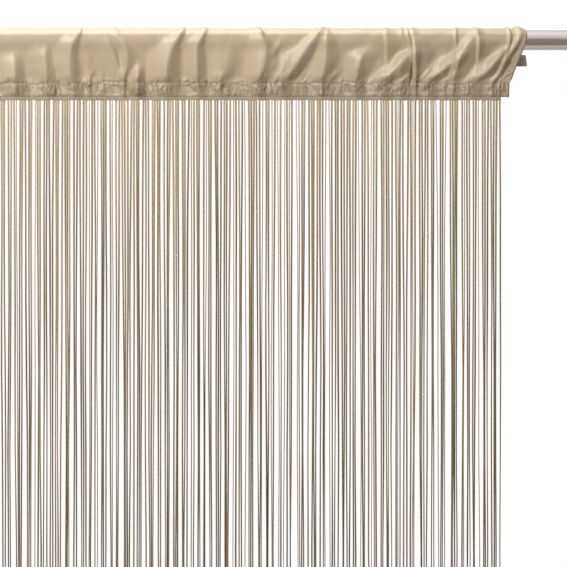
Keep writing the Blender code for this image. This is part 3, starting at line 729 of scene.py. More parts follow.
@dataclass
class RuchedCloth:
    """The cloth's relief: its folds, what the sewing leaves round the seam, and its fine wrinkles.

    Metres, except where a comment says mm. A painted shade share says how far the cloth's colour is darkened
    by painted shade where it lies deep between its own gathers, in its grooves and along its seams: 0 for
    open cloth and 1 for the deepest.
    """

    seam_drop: float = 0.0430  # from the rod's axis down to the seam that closes the pocket
    stitch_drop: float = 0.0556  # and down to the stitches along the band's foot
    folds: CreaseField = field(default_factory=CreaseField)
    gathers: Gathers = field(default_factory=lambda: Gathers(23, (3.4, 9.0), (0.4, 1.6)))
    gathers_share: float = 0.8
    small_gathers: Gathers = field(
        default_factory=lambda: Gathers(29, (1.9, 4.6), (0.05, 0.6), 2.0, (0.8, 5.0))
    )
    most_lean: float = 1.1
    right_lean: tuple = (0.08, 0.28)  # how far out the cloth starts to lean, and over what length
    left_lean: tuple = (0.22, 0.18)
    seam_waves: tuple = ((1.7, Noise(11, 1, 6)), (1.1, Noise(3.7, 1, 7)))  # mm up and down, and the noise
    band_fades: tuple = (2.0, 2.2)  # mm from the seam and the stitches over which the ruching comes in
    waver: float = 2.2 * MM  # of the grooves, sideways
    waver_noise: Noise = Noise(6, 4.5, 5)
    patch_levels: tuple = (0.75, 0.65)  # mean strength of the ruching and its swing from patch to patch
    patch_noise: Noise = Noise(13, 7, 9)
    crumple: float = 0.5 * MM
    crumple_noise: Noise = Noise(4.2, 4.6, 14)
    crumple_run: float = 3.0  # mm above the seam
    # painted shade shares: in the crumples' hollows and in the gathers' grooves
    crumple_painted_shade: float = 0.25
    groove_painted_shade: float = 0.28
    band_painted_shade: tuple = (0.34, 0.06)  # painted shade over the whole band, and what the right side has more, for the light that falls off to the right
    more_painted_shade_rise: tuple = (0.12, 0.1)  # where that starts, and over what length
    painted_shade_fade: tuple = (-4.5, 9.0)  # mm below the seam where the painted shade starts, and over what height
    pit: Dent = Dent(1.6, 2.2, 0.9)
    seam_furrow: Dent = Dent(0.32, 1.0, 0.22)
    seam_breaks: tuple = (0.05, 1.2)  # mean and swing of the furrow's strength, which is clipped to 0..1
    break_noise: Noise = Noise(6.1, 40, 12)
    stitch_furrow: Dent = Dent(0.35, 0.8, 0.3)
    wrinkle_waves: tuple = ((0.28, Noise(9, 22, 3)), (0.07, Noise(3.6, 9, 4)))  # mm, and the noise

    def lean(self, x: np.ndarray) -> np.ndarray:
        """How far the cloth's grain leans sideways for each metre up: it turns out towards both ends."""
        return self.most_lean * (rise(x, *self.right_lean) - rise(-x, *self.left_lean))

    def seam_line(self, x: np.ndarray) -> np.ndarray:
        """The height of the seam that closes the pocket, which wanders by a millimetre or so."""
        level = np.zeros_like(x)
        return -self.seam_drop + sum(height * noise.at(x, level) for height, noise in self.seam_waves) * MM

    def wrinkles(self, x: np.ndarray, z: np.ndarray) -> np.ndarray:
        """Fine unevenness of the cloth in two sizes, drawn out along its lean."""
        leaning = x - self.lean(x) * z
        return sum(height * noise.at(leaning, z) for height, noise in self.wrinkle_waves) * MM

    def puckers(self, x: np.ndarray, z: np.ndarray) -> tuple:
        """The ruching's relief around the seam.

        Two sets of pillows, a broad and a small one, are full in the band and run out above the seam, each
        over its own height, leaning with the cloth; their grooves waver and their strength comes and goes.
        The seam and the stitch line are furrows, and a groove ends at the seam in a small pit. Painted shade
        darkens the band, the crumples' hollows, the grooves, the pits and the furrows.

        Args:
            x: places along the rod.
            z: heights above the rod's axis.

        Returns:
            (relief towards the room in metres, painted shade share in 0..1).
        """
        above = (z - self.seam_line(x)) / MM
        above_stitch = (z + self.stitch_drop) / MM
        upwards = np.maximum(above, 0.0)
        near_seam, near_stitches = self.band_fades
        in_band = rise(-above, 0.0, near_seam) * rise(above_stitch, 0.0, near_stitches)
        leaning = x - self.lean(x) * MM * upwards + self.waver * self.waver_noise.at(x, z)
        mean, swing = self.patch_levels
        patchy = mean + swing * self.patch_noise.at(x, z)
        crumpled = 1.0 - 2.0 * np.abs(self.crumple_noise.at(leaning, z))
        run_out = rise(above) * np.exp(-upwards / self.crumple_run)
        relief = self.crumple * crumpled * patchy * (in_band + run_out)
        # painted shade over the band, more towards the right, and in the crumples' hollows
        everywhere, more = self.band_painted_shade
        painted_shade = (everywhere + more * rise(x, *self.more_painted_shade_rise)) * rise(-above, *self.painted_shade_fade)
        painted_shade = painted_shade + self.crumple_painted_shade * rise(-crumpled) * in_band
        # each set's pillows, with painted shade in its grooves and pits
        for gathers, share in ((self.gathers, self.gathers_share), (self.small_gathers, patchy)):
            height, groove, run, pit_share = gathers.pillows(leaning)
            strength = in_band + rise(above, 0.0, near_seam) * np.exp(-upwards / run)
            pit = pit_share * groove * self.pit.bell(above)
            relief = relief + height * share * patchy * strength - self.pit.depth * MM * pit
            painted_shade = painted_shade + self.groove_painted_shade * share * groove * strength + self.pit.painted_shade_share * pit
        mean, swing = self.seam_breaks
        seam = self.seam_furrow.bell(above) * np.clip(mean + swing * self.break_noise.at(x, z), 0.0, 1.0)
        stitches = self.stitch_furrow.bell(above_stitch)
        relief = relief - self.seam_furrow.depth * MM * seam - self.stitch_furrow.depth * MM * stitches
        # painted shade in the seam's and the stitches' furrows
        painted_shade = painted_shade + self.seam_furrow.painted_shade_share * seam + self.stitch_furrow.painted_shade_share * stitches
        return relief, np.clip(painted_shade, 0.0, 1.0)


class EdgePoint(NamedTuple):
    """One point of the heading's slanted end, in mm."""

    height: float
    inset: float


SLANTED_EDGE = (
    EdgePoint(-57.0, 18.2),
    EdgePoint(-42.0, 17.8),
    EdgePoint(-39.0, 15.6),
    EdgePoint(-26.0, 10.8),
    EdgePoint(-12.0, 5.0),
    EdgePoint(-5.0, 2.0),
    EdgePoint(3.0, 0.0),
    EdgePoint(8.0, 0.4),
    EdgePoint(11.8, 3.0),
)


@dataclass
class Heading(RuchedCloth):
    """The shirred heading: one sheet that wraps the rod and is sewn to itself in a ruched band.

    The grid of points is the middle of the cloth's thickness, in metres.
    """

    width: float = 0.900
    rod_from_wall: float = 0.075
    cloth: float = 0.0008
    flat: tuple = (1.03, 0.17)
    hem_drop: float = 0.0567
    layer_offset: float = 0.00042  # from the band's middle to the middle of one layer
    pocket_radius: float = 0.0114  # the cloth's middle, at the rod's level and over its back
    clear_radius: float = 0.0109  # the closest that the cloth's middle comes to the rod's axis
    shoulder_height: float = 0.0048
    bend_radius: float = 0.0022
    bend_angle: float = math.radians(35)
    top_height: float = 0.0116
    top_fade: float = 1.35  # minus the cosine of the angle at which the relief would have faded away
    over_from: float = 1.2  # radians over the rod at which the end starts to take the back's inset
    column_breaks: tuple = (-0.440, -0.080, 0.440)  # where the spacing of the columns changes
    column_counts: tuple = (12, 170, 515, 16)  # closest on the side with the finest creases and at both ends
    band_rows: int = 14
    fine_rows: int = 13
    fine_height: float = 0.0145
    front_rows: int = 13
    bend_rows: int = 6
    shoulder_rows: int = 6
    over_rows: int = 6
    back_rows: int = 7
    back_band_rows: int = 4
    band_waves: tuple = ((0.6, 17, 0.0), (0.5, 41, 1.0))  # mm in and out, mm of x for a radian, phase
    fold_share_in_band: float = 0.55
    deepest_fold: float = 2.5 * MM  # that the band still follows
    foot_over: float = 5 * MM  # height above the band's foot over which the folds come in
    band_folds: tuple = (0.0415, 0.004)  # drop at which the band's own folds start, and over what height
    free_folds: tuple = (-1.06, 0.25)  # minus the share of the way down where folds end, and over what share
    closing_powers: tuple = (1.15, 1.2)  # of the share of the way down, on the front and at the back
    sag: float = 0.6 * MM  # of the back, out and in
    sag_wave: float = 23 * MM  # of x for a radian
    back_wrinkles: float = 1.6  # of the front's
    back_relief: float = 0.6  # of the front's
    back_seam_share: float = 0.06  # of the way down over which the back's end meets the band's
    end_zone: float = 0.040
    back_inset: float = 0.024
    slanted_edge: tuple = SLANTED_EDGE
    side_hem: float = 0.0082
    hem_step: tuple = (0.5 * MM, 1.2 * MM)  # how thick the turned strip shows, and over what width it steps
    hem_roll: tuple = (1.5 * MM, 1.8 * MM)  # how far the edge is rolled in, and over what width

    def columns(self) -> np.ndarray:
        """Space out the columns of the grid.

        Returns:
            Places along the rod, from the left end to the right.
        """
        half = self.width / 2
        ends = (-half, *self.column_breaks, half)
        stretches = zip(ends, ends[1:], self.column_counts)
        pieces = [np.linspace(start, end, count, endpoint=False) for start, end, count in stretches]
        return np.concatenate([*pieces, [half]])

    def band_line(self, x: np.ndarray) -> np.ndarray:
        """The ruched band's own line: two waves and a share of the folds.

        Args:
            x: places along the rod.

        Returns:
            How far it stands before (-) or behind the rod's axis.
        """
        wave = sum(
            height * MM * np.sin(x / (length * MM) + phase) for height, length, phase in self.band_waves
        )
        folds = np.maximum(self.folds.height(x, np.full_like(x, -self.seam_drop)), -self.deepest_fold)
        return wave - self.fold_share_in_band * folds

    def edge(self, x: np.ndarray) -> np.ndarray:
        """The side hem's relief: a doubled strip along the end, stepped inside, with its edge rolled in.

        Args:
            x: places along the rod.

        Returns:
            Relief outwards.
        """
        from_end = self.width / 2 - np.abs(x)
        step, step_over = self.hem_step
        roll, roll_over = self.hem_roll
        rolled = roll * np.clip(1.0 - from_end / roll_over, 0.0, 1.0) ** 2
        return step * rise(-from_end, -self.side_hem, step_over) - rolled

    def inset(self, z: np.ndarray, over: float = 0.0) -> np.ndarray:
        """How far inside the top edge's end the cloth stops.

        Args:
            z: heights above the rod's axis.
            over: share of the way over the rod, 0 on the front and 1 on the back.

        Returns:
            Insets in metres.
        """
        heights, insets = np.array(self.slanted_edge).T * MM
        front = (np.interp(z - MM, heights, insets) + np.interp(z + MM, heights, insets)) / 2
        return front + (self.back_inset - front) * over

    def placed(self, x: np.ndarray, y: np.ndarray, z: np.ndarray, inset: np.ndarray) -> np.ndarray:
        """Points in the shared frame, drawn in towards the middle inside the end zones.

        Args:
            x: places along the rod.
            y: distances behind the rod's axis.
            z: heights above it.
            inset: how far an end is drawn in.

        Returns:
            Points whose last axis is x, y, z.
        """
        in_zone = np.maximum((np.abs(x) - (self.width / 2 - self.end_zone)) / self.end_zone, 0.0)
        drawn_in = x - np.sign(x) * inset * in_zone
        return np.stack(np.broadcast_arrays(drawn_in, y - self.rod_from_wall, z), axis=-1)

    def front_band(self, x: np.ndarray) -> tuple:
        """The ruched band's front layer, from its foot up to the seam.

        Args:
            x: places along the rod.

        Returns:
            (points, painted shade share).
        """
        z = np.linspace(-self.hem_drop, -self.seam_drop, self.band_rows, endpoint=False)[:, None]
        relief, painted_shade = self.puckers(x, z)
        bulge = rise(z, -self.hem_drop, self.foot_over) * self.fold_share_in_band
        relief = relief + bulge * self.folds.height(x, z) * rise(-z, *self.band_folds)
        y = self.band_line(x) - self.layer_offset - relief - self.edge(x)
        return self.placed(x, y, z, self.inset(z)), painted_shade

    def front(self, x: np.ndarray) -> tuple:
        """The pocket's front, from the seam up to the shoulder.

        It hangs plumb from the rod's level up, and closes on the seam below by a power curve. The folds, the
        wrinkles and the puckers stand out of it, and it stays clear of the rod.

        Args:
            x: places along the rod.

        Returns:
            (points, painted shade share).
        """
        fine_top = -self.seam_drop + self.fine_height
        fine = np.linspace(-self.seam_drop, fine_top, self.fine_rows, endpoint=False)
        plain = np.linspace(fine_top, self.shoulder_height, self.front_rows)
        z = np.concatenate([fine, plain])[:, None]
        down = np.maximum(-z / self.seam_drop, 0.0)
        closing = self.pocket_radius + self.band_line(x) - self.layer_offset
        free = rise(-down, *self.free_folds)
        relief, painted_shade = self.puckers(x, z)
        relief = relief + (self.folds.height(x, z) + self.wrinkles(x, z)) * free + self.edge(x)
        y = -self.pocket_radius + closing * down ** self.closing_powers[0] - relief
        clear = np.sqrt(np.maximum(self.clear_radius**2 - z**2, 0.0))
        y = np.where(np.abs(z) < self.clear_radius, np.minimum(y, -clear), y)
        return self.placed(x, y, z, self.inset(z)), painted_shade

    def over_rod(self, x: np.ndarray) -> tuple:
        """The cloth over the rod.

        The front bends back sharply at first and then in a wider curve, so that it stands off the rod, and
        a quarter circle goes down behind. The relief is added along the normal, fades towards the back, and
        stays clear of the rod.

        Args:
            x: places along the rod.

        Returns:
            (points, painted shade share).
        """
        bend = np.linspace(0.0, self.bend_angle, self.bend_rows + 1)[1:]
        shoulder = np.linspace(self.bend_angle, math.pi / 2, self.shoulder_rows + 1)[1:]
        behind = np.linspace(math.pi / 2, math.pi, self.over_rows + 1)[:-1]
        bend_top = self.shoulder_height + self.bend_radius * math.sin(self.bend_angle)
        wide = (self.top_height - bend_top) / (1 - math.sin(self.bend_angle))
        bend_y = self.bend_radius - self.pocket_radius
        wide_y = bend_y + (wide - self.bend_radius) * math.cos(self.bend_angle)
        circles = (
            (bend, self.bend_radius, bend_y, self.shoulder_height),
            (shoulder, wide, wide_y, self.top_height - wide),
            (behind, self.pocket_radius, 0.0, 0.0),
        )
        angle, radius, centre_y, centre_z = (
            np.concatenate([np.broadcast_to(circle[part], circle[0].shape) for circle in circles])[:, None]
            for part in range(4)
        )
        z = centre_z + radius * np.sin(angle)
        fade = rise(np.cos(angle), -self.top_fade, self.top_fade)
        relief = (self.folds.height(x, z) + self.wrinkles(x, z)) * fade + self.edge(x) * fade
        y = centre_y - (radius + relief) * np.cos(angle)
        z = centre_z + (radius + relief) * np.sin(angle)
        spread = np.maximum(self.clear_radius / np.hypot(y, z), 1.0)
        over = rise(angle, self.over_from, math.pi - self.over_from)
        return self.placed(x, y * spread, z * spread, self.inset(z, over)), np.zeros_like(relief)

    def back(self, x: np.ndarray) -> tuple:
        """The pocket's back, from the rod's level down to the seam.

        Args:
            x: places along the rod.

        Returns:
            (points, painted shade share).
        """
        z = np.linspace(0.0, -self.seam_drop, self.back_rows)[:, None]
        down = -z / self.seam_drop
        closing = self.band_line(x) + self.layer_offset - self.pocket_radius
        wrinkled = self.back_wrinkles * self.wrinkles(x, z) * (1 - down) * down
        sag = self.sag * np.sin(x / self.sag_wave) * (1 - down) - wrinkled
        y = self.pocket_radius + closing * down ** self.closing_powers[1] + sag
        near_seam = rise(down, 1 - self.back_seam_share, self.back_seam_share)
        inset = self.inset(z, 1.0) * (1 - near_seam) + near_seam * self.inset(z)
        return self.placed(x, y, z, inset), np.zeros_like(y)

    def back_band(self, x: np.ndarray) -> tuple:
        """The ruched band's back layer, from the seam down to its foot.

        Args:
            x: places along the rod.

        Returns:
            (points, painted shade share).
        """
        z = np.linspace(-self.seam_drop, -self.hem_drop, self.back_band_rows + 1)[1:][:, None]
        relief, painted_shade = self.puckers(x, z)
        y = self.band_line(x) + self.layer_offset - self.back_relief * relief
        return self.placed(x, y, z, self.inset(z)), painted_shade

    def surface(self) -> tuple:
        """The cloth's middle, as a grid with one row of points for each place round the section.

        Returns:
            (points of shape (rows, columns, 3), tucked share of shape (rows, columns)).
        """
        x = self.columns()[None, :]
        zones = [self.front_band(x), self.front(x), self.over_rod(x), self.back(x), self.back_band(x)]
        return tuple(np.concatenate(parts) for parts in zip(*zones))

    def front_path(self, heights: np.ndarray) -> np.ndarray:
        """The line that the front of the cloth takes along the rod.

        Args:
            heights: the line's height above the rod's axis, one for each column.

        Returns:
            Points of shape (columns, 3).
        """
        front = self.surface()[0][: self.band_rows + self.fine_rows + self.front_rows]
        rows = front[:, :, 2].mean(axis=1)
        place = np.interp(heights, rows, np.arange(len(rows)))
        low = np.minimum(place.astype(int), len(rows) - 2)
        share = (place - low)[:, None]
        column = np.arange(front.shape[1])
        line = front[low, column] * (1 - share) + front[low + 1, column] * share
        return line - np.array([0.0, self.cloth / 2, 0.0])

    def end_path(self, from_end: float, side: int) -> np.ndarray:
        """The line that the front of the cloth takes up its slanted end and over the rod's top.

        Args:
            from_end: how far inside the end it runs.
            side: -1 for the left end and 1 for the right one.

        Returns:
            Points of shape (rows, 3), from the third row above the foot on.
        """
        column = np.argmin(np.abs(self.columns() - side * (self.width / 2 - from_end)))
        rows = self.band_rows + self.fine_rows + self.front_rows + self.bend_rows + self.shoulder_rows
        return self.surface()[0][2:rows, column] - np.array([0.0, self.cloth / 2, 0.0])

    def build(self, finish: bpy.types.Material) -> bpy.types.Object:
        """Make the sheet, give it its thickness, hang it on the root body and hide the imported heading.

        Args:
            finish: the sateen.

        Returns:
            The heading.
        """
        points, painted_shade = self.surface()
        rows, columns, _ = points.shape
        piece = add_piece("sateen_heading", points, grid_faces(rows, columns), finish)
        # the painted shade share by which the sateen darkens its colour
        add_point_values(piece, "painted_shade_share", painted_shade)
        steps = np.linalg.norm(np.diff(points, axis=0), axis=2)
        length = np.concatenate([np.zeros((1, columns)), np.cumsum(steps, axis=0)])
        add_uv(piece, "cloth", np.stack(np.broadcast_arrays(self.columns()[None, :], length), axis=-1))
        thickness = piece.modifiers.new("cloth thickness", "SOLIDIFY")
        thickness.thickness = self.cloth
        thickness.offset = 0.0
        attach(piece, "root")
        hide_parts("heading")
        return piece


# ---- Stitches and the fringe's head --------------------------------------------------------------
@dataclass
class StitchRow:
    """A row of sewing stitches along a path: short arched pieces of thread with a gap between them."""

    name: str
    pitch: float = 3.2 * MM
    length: float = 2.1 * MM
    lift: float = 0.45 * MM
    sink: float = 0.10 * MM  # how far below the surface the ends go
    thread: float = 0.36 * MM  # radius in the middle of a stitch
    end_thickness: float = 0.6  # of that radius
    sides: int = 4
    steps: int = 5

    def build(self, path: np.ndarray, finish: bpy.types.Material) -> bpy.types.Object:
        """Make the whole row as one mesh.

        Along each stitch s runs from 0 to 1: its middle follows the path and stands out by
        lift * sin(pi s) - sink, and a small square ring of vertices is set round it.

        Args:
            path: points on the cloth's surface.
            finish: the thread's finish.

        Returns:
            The row.
        """
        along = np.concatenate([[0.0], np.cumsum(np.linalg.norm(np.diff(path, axis=0), axis=1))])
        count = int((along[-1] - self.length) / self.pitch)
        starts = 0.5 * (along[-1] - count * self.pitch) + self.pitch * np.arange(count)
        share = np.linspace(0.0, 1.0, self.steps)
        arch = np.sin(math.pi * share)
        places = starts[:, None] + self.length * share[None, :]
        middle = np.stack([np.interp(places, along, path[:, axis]) for axis in range(3)], axis=-1)
        middle[..., 1] -= self.lift * arch[None, :] - self.sink
        run = np.gradient(middle, axis=1)
        run /= np.linalg.norm(run, axis=2, keepdims=True)
        side = np.cross(run, np.array([0.0, -1.0, 0.0]))
        side /= np.linalg.norm(side, axis=2, keepdims=True)
        up = np.cross(side, run)
        turn = (np.arange(self.sides) + 0.5) * 2 * math.pi / self.sides
        radius = self.thread * (self.end_thickness + (1 - self.end_thickness) * arch)[None, :, None, None]
        ring = np.cos(turn)[:, None] * side[:, :, None, :] + np.sin(turn)[:, None] * up[:, :, None, :]
        points = middle[:, :, None, :] + radius * ring
        # these rings go clockwise as seen from a stitch's last ring, so their faces are turned
        faces = [face[::-1] for face in tube_faces(self.steps, self.sides, count)]
        piece = add_piece(self.name, points, faces, finish)
        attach(piece, "root")
        return piece


@dataclass
class FringeHeader:
    """The head of the fringe, where the yarns lie side by side and are chained together under the band."""

    height: float = 3.4 * MM
    thickness: float = 1.7 * MM
    top: float = -0.0566
    rib: float = 0.28 * MM
    rib_mean: float = 0.6  # of a rib's height, which the section's thickness already holds
    uneven: float = 0.15 * MM  # from rib to rib
    ragged: float = 0.45 * MM  # of the lower edge
    corner_powers: tuple = (0.6, 0.5)  # 1 for a round section, less for a squarer one
    ribs_per_string: int = 2
    samples_per_rib: int = 4
    sides: int = 12
    seed: int = 31

    def build(self, roots: np.ndarray, heading: Heading, finish: bpy.types.Material) -> bpy.types.Object:
        """Carry a rounded oblong section along the band's line, with two rounded ribs at each root.

        Args:
            roots: the strings' places along the rod.
            heading: gives the line to follow.
            finish: the woven finish.

        Returns:
            The header.
        """
        draw = np.random.default_rng(self.seed)
        past_end = (roots[1] - roots[0]) / 3
        ribs = len(roots) * self.ribs_per_string
        count = ribs * self.samples_per_rib
        x = np.linspace(roots[0] - past_end, roots[-1] + past_end, count)
        place = np.arange(count) / self.samples_per_rib
        number = place.astype(int)
        y = heading.band_line(x) - heading.rod_from_wall
        rib = self.rib * (np.abs(np.sin(math.pi * place)) - self.rib_mean)
        half = self.thickness / 2 + (rib + self.uneven * draw.uniform(-1, 1, ribs)[number])[:, None]
        ends = self.ragged * draw.uniform(-1, 1, ribs)[number]
        turn = np.linspace(0, 2 * math.pi, self.sides, endpoint=False) + math.pi / self.sides
        across, upright = (
            np.sign(round_section) * np.abs(round_section) ** power
            for round_section, power in zip((np.cos(turn), np.sin(turn)), self.corner_powers)
        )
        low = ends[:, None] * (upright < 0)[None, :]
        z = self.top - self.height / 2 + (self.height / 2 + low) * upright[None, :]
        points = np.stack(np.broadcast_arrays(x[:, None], y[:, None] + half * across[None, :], z), axis=-1)
        piece = add_piece("fringe_header", points, tube_faces(count, self.sides), finish)
        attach(piece, "root")
        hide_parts("string_fringe")
        return piece


# ---- The strings ---------------------------------------------------------------------------------
@dataclass
class Strings:
    """The strings: twisted yarns, one or two to a root, that draw together in small groups further down."""

    # the solid strands
    count: int = 283
    pitch: float = 3.0 * MM
    tucked_pitch: float = 2.1 * MM
    drift: float = 1.1 * MM
    sway: float = 1.2 * MM
    end_spread: float = 4.0 * MM
    group_sizes: tuple = (2, 3, 4, 5, 6)
    seed: int = 11
    drop: float = 2.0  # from the heading's top to the ends
    over_rod: float = 0.012  # the heading's top
    root_height: float = -0.0585
    strip_foot: float = -0.0603
    # the yarns drawn in their place
    pairing: float = 0.86  # share of roots that carry two yarns
    yarn: float = 1.02 * MM  # diameter
    yarn_spread: float = 0.12
    bunch_sizes: tuple = (1, 1, 1, 1, 2, 2, 2, 2, 3, 3, 4)
    bunch_pitch: float = 2.36 * MM
    bunch_drift: float = 0.5 * MM
    pair_pitch: float = 1.0 * MM
    pair_depth: float = 1.44 * MM  # how far one yarn of a pair hangs behind the other
    hung_pair_pitch: tuple = (0.18 * MM, 0.48 * MM)
    hung_draw: float = 0.35  # share of the solid strands' drawing together that the yarns follow
    hung_bunch_pitch: float = 1.45 * MM
    settling: float = 0.25  # metres of drop over which a group draws together
    grown_half: float = 0.12  # metres of drop at which half of the wander is there
    wander: float = 1.0 * MM
    wander_waves: tuple = ((0.65, 0.62), (0.35, 0.27))  # share of the wander, and one wave's length
    own_wander: tuple = (0.2 * MM, 0.36)  # sideways, yarn by yarn, with its wave's length
    depth_wander: tuple = (0.5 * MM, 0.4)  # towards the room and back
    tones: tuple = (0.2, 1.35)  # where the yarns are sewn, darkest and palest
    painted_shade_fall: float = 0.95  # painted shade: how much darker a yarn is at its foot than where it is sewn, for the light that falls off lower down
    painted_shade_settling: float = 0.3  # metres of drop
    sides: int = 5
    # metres of drop, of which the last is past every end
    levels: tuple = (0.0, 0.018, 0.05, 0.09, 0.14, 0.20, 0.27, 0.35, 0.45, 0.60, 0.85, 1.15, 1.50, 9.0)
    bundles: int = 4

    def hangs(self) -> np.ndarray:
        """The places of the solid strands, by the same random draws as in the part's source.

        Returns:
            An array with a row for each strand: root x, drawn-in x, sway and extra length.
        """
        draw = np.random.default_rng(self.seed)
        first = -(self.count - 1) / 2 * self.pitch
        rows = []
        while len(rows) < self.count:
            size = min(int(draw.choice(self.group_sizes)), self.count - len(rows))
            middle = first + (len(rows) + (size - 1) / 2) * self.pitch
            drift = float(draw.uniform(-self.drift, self.drift))
            for place in range(size):
                root_x = first + len(rows) * self.pitch
                tucked_x = middle + drift + (place - (size - 1) / 2) * self.tucked_pitch
                sway = float(draw.uniform(-self.sway, self.sway))
                extra = float(draw.uniform(-self.end_spread, self.end_spread))
                rows.append((root_x, tucked_x, sway, extra))
        return np.array(rows)

    def bunched(self, x: np.ndarray, pitch: float, draw: np.random.Generator) -> np.ndarray:
        """Places along the rod drawn together into small bunches with gaps between them.

        Args:
            x: the places, in order.
            pitch: how far apart two neighbours of one bunch stand.
            draw: the random generator.

        Returns:
            The bunched places, in the same order.
        """
        bunched = x.copy()
        first = 0
        while first < len(x):
            size = min(int(draw.choice(self.bunch_sizes)), len(x) - first)
            members = slice(first, first + size)
            middle = x[members].mean() + draw.uniform(-self.bunch_drift, self.bunch_drift)
            bunched[members] = middle + (np.arange(size) - (size - 1) / 2) * pitch
            first += size
        return bunched

    def paths(self, heading: Heading) -> np.ndarray:
        """Each yarn's middle line.

        x runs from the root to the drawn-in place by the share 1 - exp(-drop / settling), with a slow wander
        of two sine waves that grows from the root down. y runs from the band's line to the rod's plane. The
        last level lies past every end and is cut back to the yarn's own length.

        Args:
            heading: gives the band's line.

        Returns:
            Points of shape (yarns, levels, 3).
        """
        strands = self.hangs()
        draw = np.random.default_rng(self.seed + 1)
        paired = draw.uniform(size=self.count) < self.pairing
        owner = np.concatenate([np.arange(self.count), np.flatnonzero(paired)])
        side = np.concatenate([np.where(paired, -0.5, 0.0), np.full(int(paired.sum()), 0.5)])[:, None]
        drawn_x = strands[:, 0] + self.hung_draw * (strands[:, 1] - strands[:, 0])
        root_x = self.bunched(strands[:, 0], self.bunch_pitch, draw)[owner, None]
        hung_draws = np.random.default_rng(self.seed + 3)
        hung_x = self.bunched(drawn_x, self.hung_bunch_pitch, hung_draws)[owner, None]
        _, _, sway, extra = strands[owner].T[..., None]
        length = self.drop - self.over_rod + self.strip_foot + extra
        drop = np.minimum(np.array(self.levels)[None, :], length)
        share = 1.0 - np.exp(-drop / self.settling)
        grown = drop / (drop + self.grown_half)
        hung_pitch = draw.uniform(*self.hung_pair_pitch, self.count)[owner, None]
        phases = draw.uniform(0, 2 * math.pi, (2, self.count))[:, owner, None]
        own_phase, depth_phase = draw.uniform(0, 2 * math.pi, (2, len(owner), 1))
        own, own_wave = self.own_wander
        depth, depth_wave = self.depth_wander
        wander = sum(
            part * np.sin(2 * math.pi * drop / wave + phase)
            for (part, wave), phase in zip(self.wander_waves, phases)
        )
        x = root_x + (hung_x - root_x) * share
        x = x + side * (self.pair_pitch + (hung_pitch - self.pair_pitch) * share)
        x = x + (self.wander * wander + own * np.sin(2 * math.pi * drop / own_wave + own_phase)) * grown
        root_y = heading.band_line(root_x) - heading.rod_from_wall
        hung_y = -heading.rod_from_wall + sway + self.pair_depth * side
        y = root_y + (hung_y - root_y) * share
        y = y + depth * np.sin(2 * math.pi * drop / depth_wave + depth_phase) * grown
        z = self.strip_foot - drop
        z[:, 0] = self.root_height
        return np.stack([x, y, z], axis=-1)

    def build(self, heading: Heading, finish: bpy.types.Material) -> list:
        """Make the yarns, in a few bundles side by side, with a ring of sides round each path point.

        Args:
            heading: gives the band's line.
            finish: the yarn's finish.

        Returns:
            The bundles.
        """
        paths = self.paths(heading)
        paths = paths[np.argsort(paths[:, 0, 0])]
        draw = np.random.default_rng(self.seed + 2)
        yarns, levels, _ = paths.shape
        radius = self.yarn / 2 * draw.uniform(1 - self.yarn_spread, 1 + self.yarn_spread, yarns)
        # painted shade: each yarn's random tone darkens down the string, for the light that falls off lower
        # down
        fall = self.painted_shade_fall * (1.0 - np.exp(-np.array(self.levels) / self.painted_shade_settling))
        tone = np.clip(draw.uniform(*self.tones, yarns)[:, None] - fall, 0.0, 1.0)
        cast = draw.uniform(0.0, 1.0, yarns)
        start = draw.uniform(0.0, 2 * math.pi, yarns)
        turn = start[:, None] + np.arange(self.sides)[None, :] * 2 * math.pi / self.sides
        ring = np.stack([np.cos(turn), -np.sin(turn), np.zeros_like(turn)], axis=-1)
        points = paths[:, :, None, :] + radius[:, None, None, None] * ring[:, None, :, :]
        around = np.arange(self.sides) / self.sides
        uv = np.stack(np.broadcast_arrays(around, -paths[:, :, None, 2]), axis=-1)
        bundles = []
        for number, members in enumerate(np.array_split(np.arange(yarns), self.bundles)):
            faces = tube_faces(levels, self.sides, len(members))
            piece = add_piece(f"strings_{number + 1}", points[members], faces, finish)
            add_point_values(piece, "tone", np.repeat(tone[members], self.sides))
            add_point_values(piece, "cast", np.repeat(cast[members], levels * self.sides))
            add_uv(piece, "yarn", uv[members])
            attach(piece, "root")
            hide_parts("string_fringe")
            bundles.append(piece)
        return bundles


# ---- The rod, the knobs and the brackets ---------------------------------------------------------
def turned_points(
    radii: np.ndarray, places: np.ndarray, sides: int, change: float | np.ndarray = 0.0
) -> np.ndarray:
    """A profile turned about an axis: for each place along it, a circle of this radius.

    Args:
        radii: the profile's radii.
        places: where each radius stands along the axis.
        sides: points round the axis.
        change: what is added to the radii, one number or an array with one for each point.

    Returns:
        Points of shape (places, sides, 3): cosine, sine and place.
    """
    turn = np.arange(sides) * 2 * math.pi / sides
    spread = np.broadcast_to(radii[:, None] + change, (len(radii), sides))
    axes = np.broadcast_arrays(spread * np.cos(turn), spread * np.sin(turn), places[:, None])
    return np.stack(axes, axis=-1)


